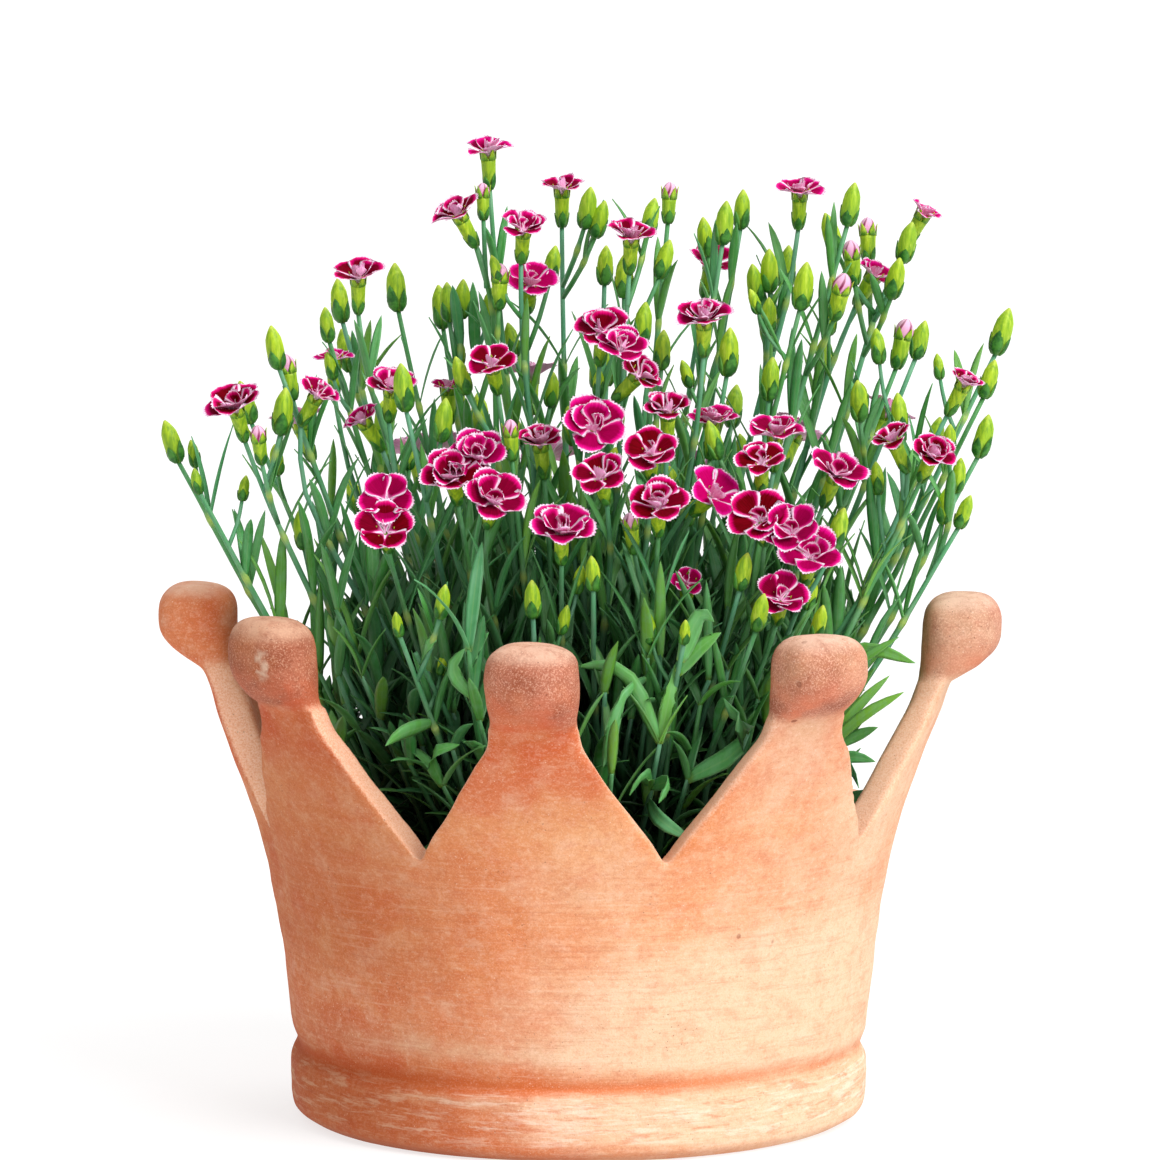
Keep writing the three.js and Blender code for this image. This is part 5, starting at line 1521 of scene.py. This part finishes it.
def grow_single_leaves(bed):
    """The leaves that are placed one by one, each from the nearest stem."""
    spots = np.concatenate([curve_through(points, np.linspace(0, 1, 40)) for points in bed.shoots])
    for foot, middle, tip, width, fresh in SINGLE_LEAVES:
        if clump_at(ray(foot)) != bed.clump:
            continue
        root = spots[np.argmin(np.linalg.norm(spots - foot, axis=1))]
        path = curve_through([root, middle, tip], BLADE_STATIONS)
        azimuth = math.atan2(tip[1] - foot[1], tip[0] - foot[0])
        look = (bed.uniform(0.3, 1), SINGLE_LEAF["inner_shade"] * inner_shade_at(path[4]), fresh)
        twist, draw = bed.uniform(-0.4, 0.4), bed.uniform()
        fold, roll = SINGLE_LEAF["fold"], SINGLE_LEAF["roll"]
        leaf(bed.soups["leaves"], path, azimuth, width, fold, twist, draw, look, roll)


def grow_clump(clump, heads, spots):
    bed = Bed(clump, spots)
    for head in heads:
        if clump_at(ray(head["centre"])) == clump:
            grow = grow_bloom_stem if head["kind"] == "bloom" else grow_bud_stem
            grow(bed, head)
    grow_tufts(bed)
    if clump:  # the middle one has no wall beside it
        grow_skirt(bed)
    grow_single_leaves(bed)
    return bed.soups


# ---------------------------------------------------------------- putting it together

planter = make_planter()
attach(planter, "root")
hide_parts("crown_planter")

soil = make_soil()
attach(soil, "root")
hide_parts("soil")

heads = [bloom_head(*row) for row in BLOOMS]
heads += [bud_head(*row, k in OPENING_BUDS) for k, row in enumerate(BUDS)]
spread_heads(heads)
heads += [bud_head(*row) for row in MORE_BUDS]
spots = np.array([(*head["centre"], head["reach"] + SPOT_ROOM[head["kind"]]) for head in heads])

finishes = {"stems": stem_material(), "leaves": foliage_material(), "buds": bud_material()}
for clump in range(len(CENTRES)):
    soups = grow_clump(clump, heads, spots)
    for kind, soup in soups.items():
        if not soup.count:
            continue
        piece = soup.make(f"{kind}_{clump}", finishes[kind])
        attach(piece, "root")
        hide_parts(f"clump_{clump}")

petal_finish, thread_finish = petal_material(), thread_material()
bloom_random = np.random.default_rng(SEED)
threads = Soup("blade", "look")
for k, head in enumerate(h for h in heads if h["kind"] == "bloom"):
    soup = Soup("petal", "look")
    centre, axis, width = head["centre"], head["axis"], head["width"]
    tone, *counts = BLOOM_LOOKS[k]
    grow_corolla(soup, threads, centre, axis, width, bloom_random, tone, *counts)
    if head["twin"]:
        centre = centre + turned_up(np.array((*head["twin"], TWIN["rise"])), axis)
        width, tone = width * TWIN["width"], tone + TWIN["tone"]
        grow_corolla(soup, threads, centre, axis, width, bloom_random, tone, *counts)
    piece = soup.make(f"petals_{k:02d}", petal_finish)
    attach(piece, "root")
    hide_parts(f"bloom_{k:02d}")
piece = threads.make("styles", thread_finish)
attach(piece, "root")

# ---------------------------------------------------------------- stage, lights and camera

FLOOR_REACH = 30000
CAMERA = {"bearing": 6.9, "elevation": 8.91, "distance": 6.70, "height": 0.227, "aside": 0.0006}
LENS = {"sensor_width": 36, "lens": 495, "clip_end": 200}
SUNS = {  # direction, strength and width in degrees
    "key": ((0.92, -0.72, 0.95), 2.8, 40), "behind": ((0.55, 0.8, 0.8), 0.9, 40),
    "front": ((-0.05, -1.0, 0.35), 0.22, 60),
}
SKY = (0.0, 1.0, 0.1, 0.9)  # from and to: how the light rises from straight across to straight up


def looking_from(direction):
    """The rotation of a camera or sun that faces the middle from there."""
    return (-Vector(direction).normalized()).to_track_quat("-Z", "Y").to_euler()


corners = FLOOR_REACH * np.array([(-1, -1, 0), (1, -1, 0), (1, 1, 0), (-1, 1, 0)], float)
floor = mesh_object("floor", corners, np.array([[0, 1, 2, 3]]), np.zeros((0, 3), int), floor_material(), {})

bearing, elevation = math.radians(CAMERA["bearing"]), math.radians(CAMERA["elevation"])
back = Vector((*(bearing_vector(CAMERA["bearing"])[:2] * math.cos(elevation)), math.sin(elevation)))
right = Vector((math.cos(bearing), math.sin(bearing), 0))
camera_data = bpy.data.cameras.new("camera")
for key, value in LENS.items():
    setattr(camera_data, key, value)
camera = linked_object("camera", camera_data)
camera.location = Vector((0, 0, CAMERA["height"])) + right * CAMERA["aside"] + back * CAMERA["distance"]
camera.rotation_euler = looking_from(back)
bpy.context.scene.camera = camera

for name, (direction, strength, angle) in SUNS.items():
    sun = bpy.data.lights.new(name, "SUN")
    sun.energy, sun.angle = strength, math.radians(angle)
    linked_object(name, sun).rotation_euler = looking_from(direction)

world = bpy.data.worlds.new("studio")
world.use_nodes = True
nodes, links = world.node_tree.nodes, world.node_tree.links
place, split, rise = (nodes.new(f"ShaderNode{kind}") for kind in ("TexCoord", "SeparateXYZ", "MapRange"))
for socket, number in zip(list(rise.inputs)[1:5], SKY):
    socket.default_value = number
links.new(place.outputs["Generated"], split.inputs[0])
links.new(split.outputs[2], rise.inputs[0])
links.new(rise.outputs[0], nodes["Background"].inputs[1])
nodes["Background"].inputs[0].default_value = (1, 1, 1, 1)
bpy.context.scene.world = world
bpy.context.scene.view_settings.view_transform = "Standard"
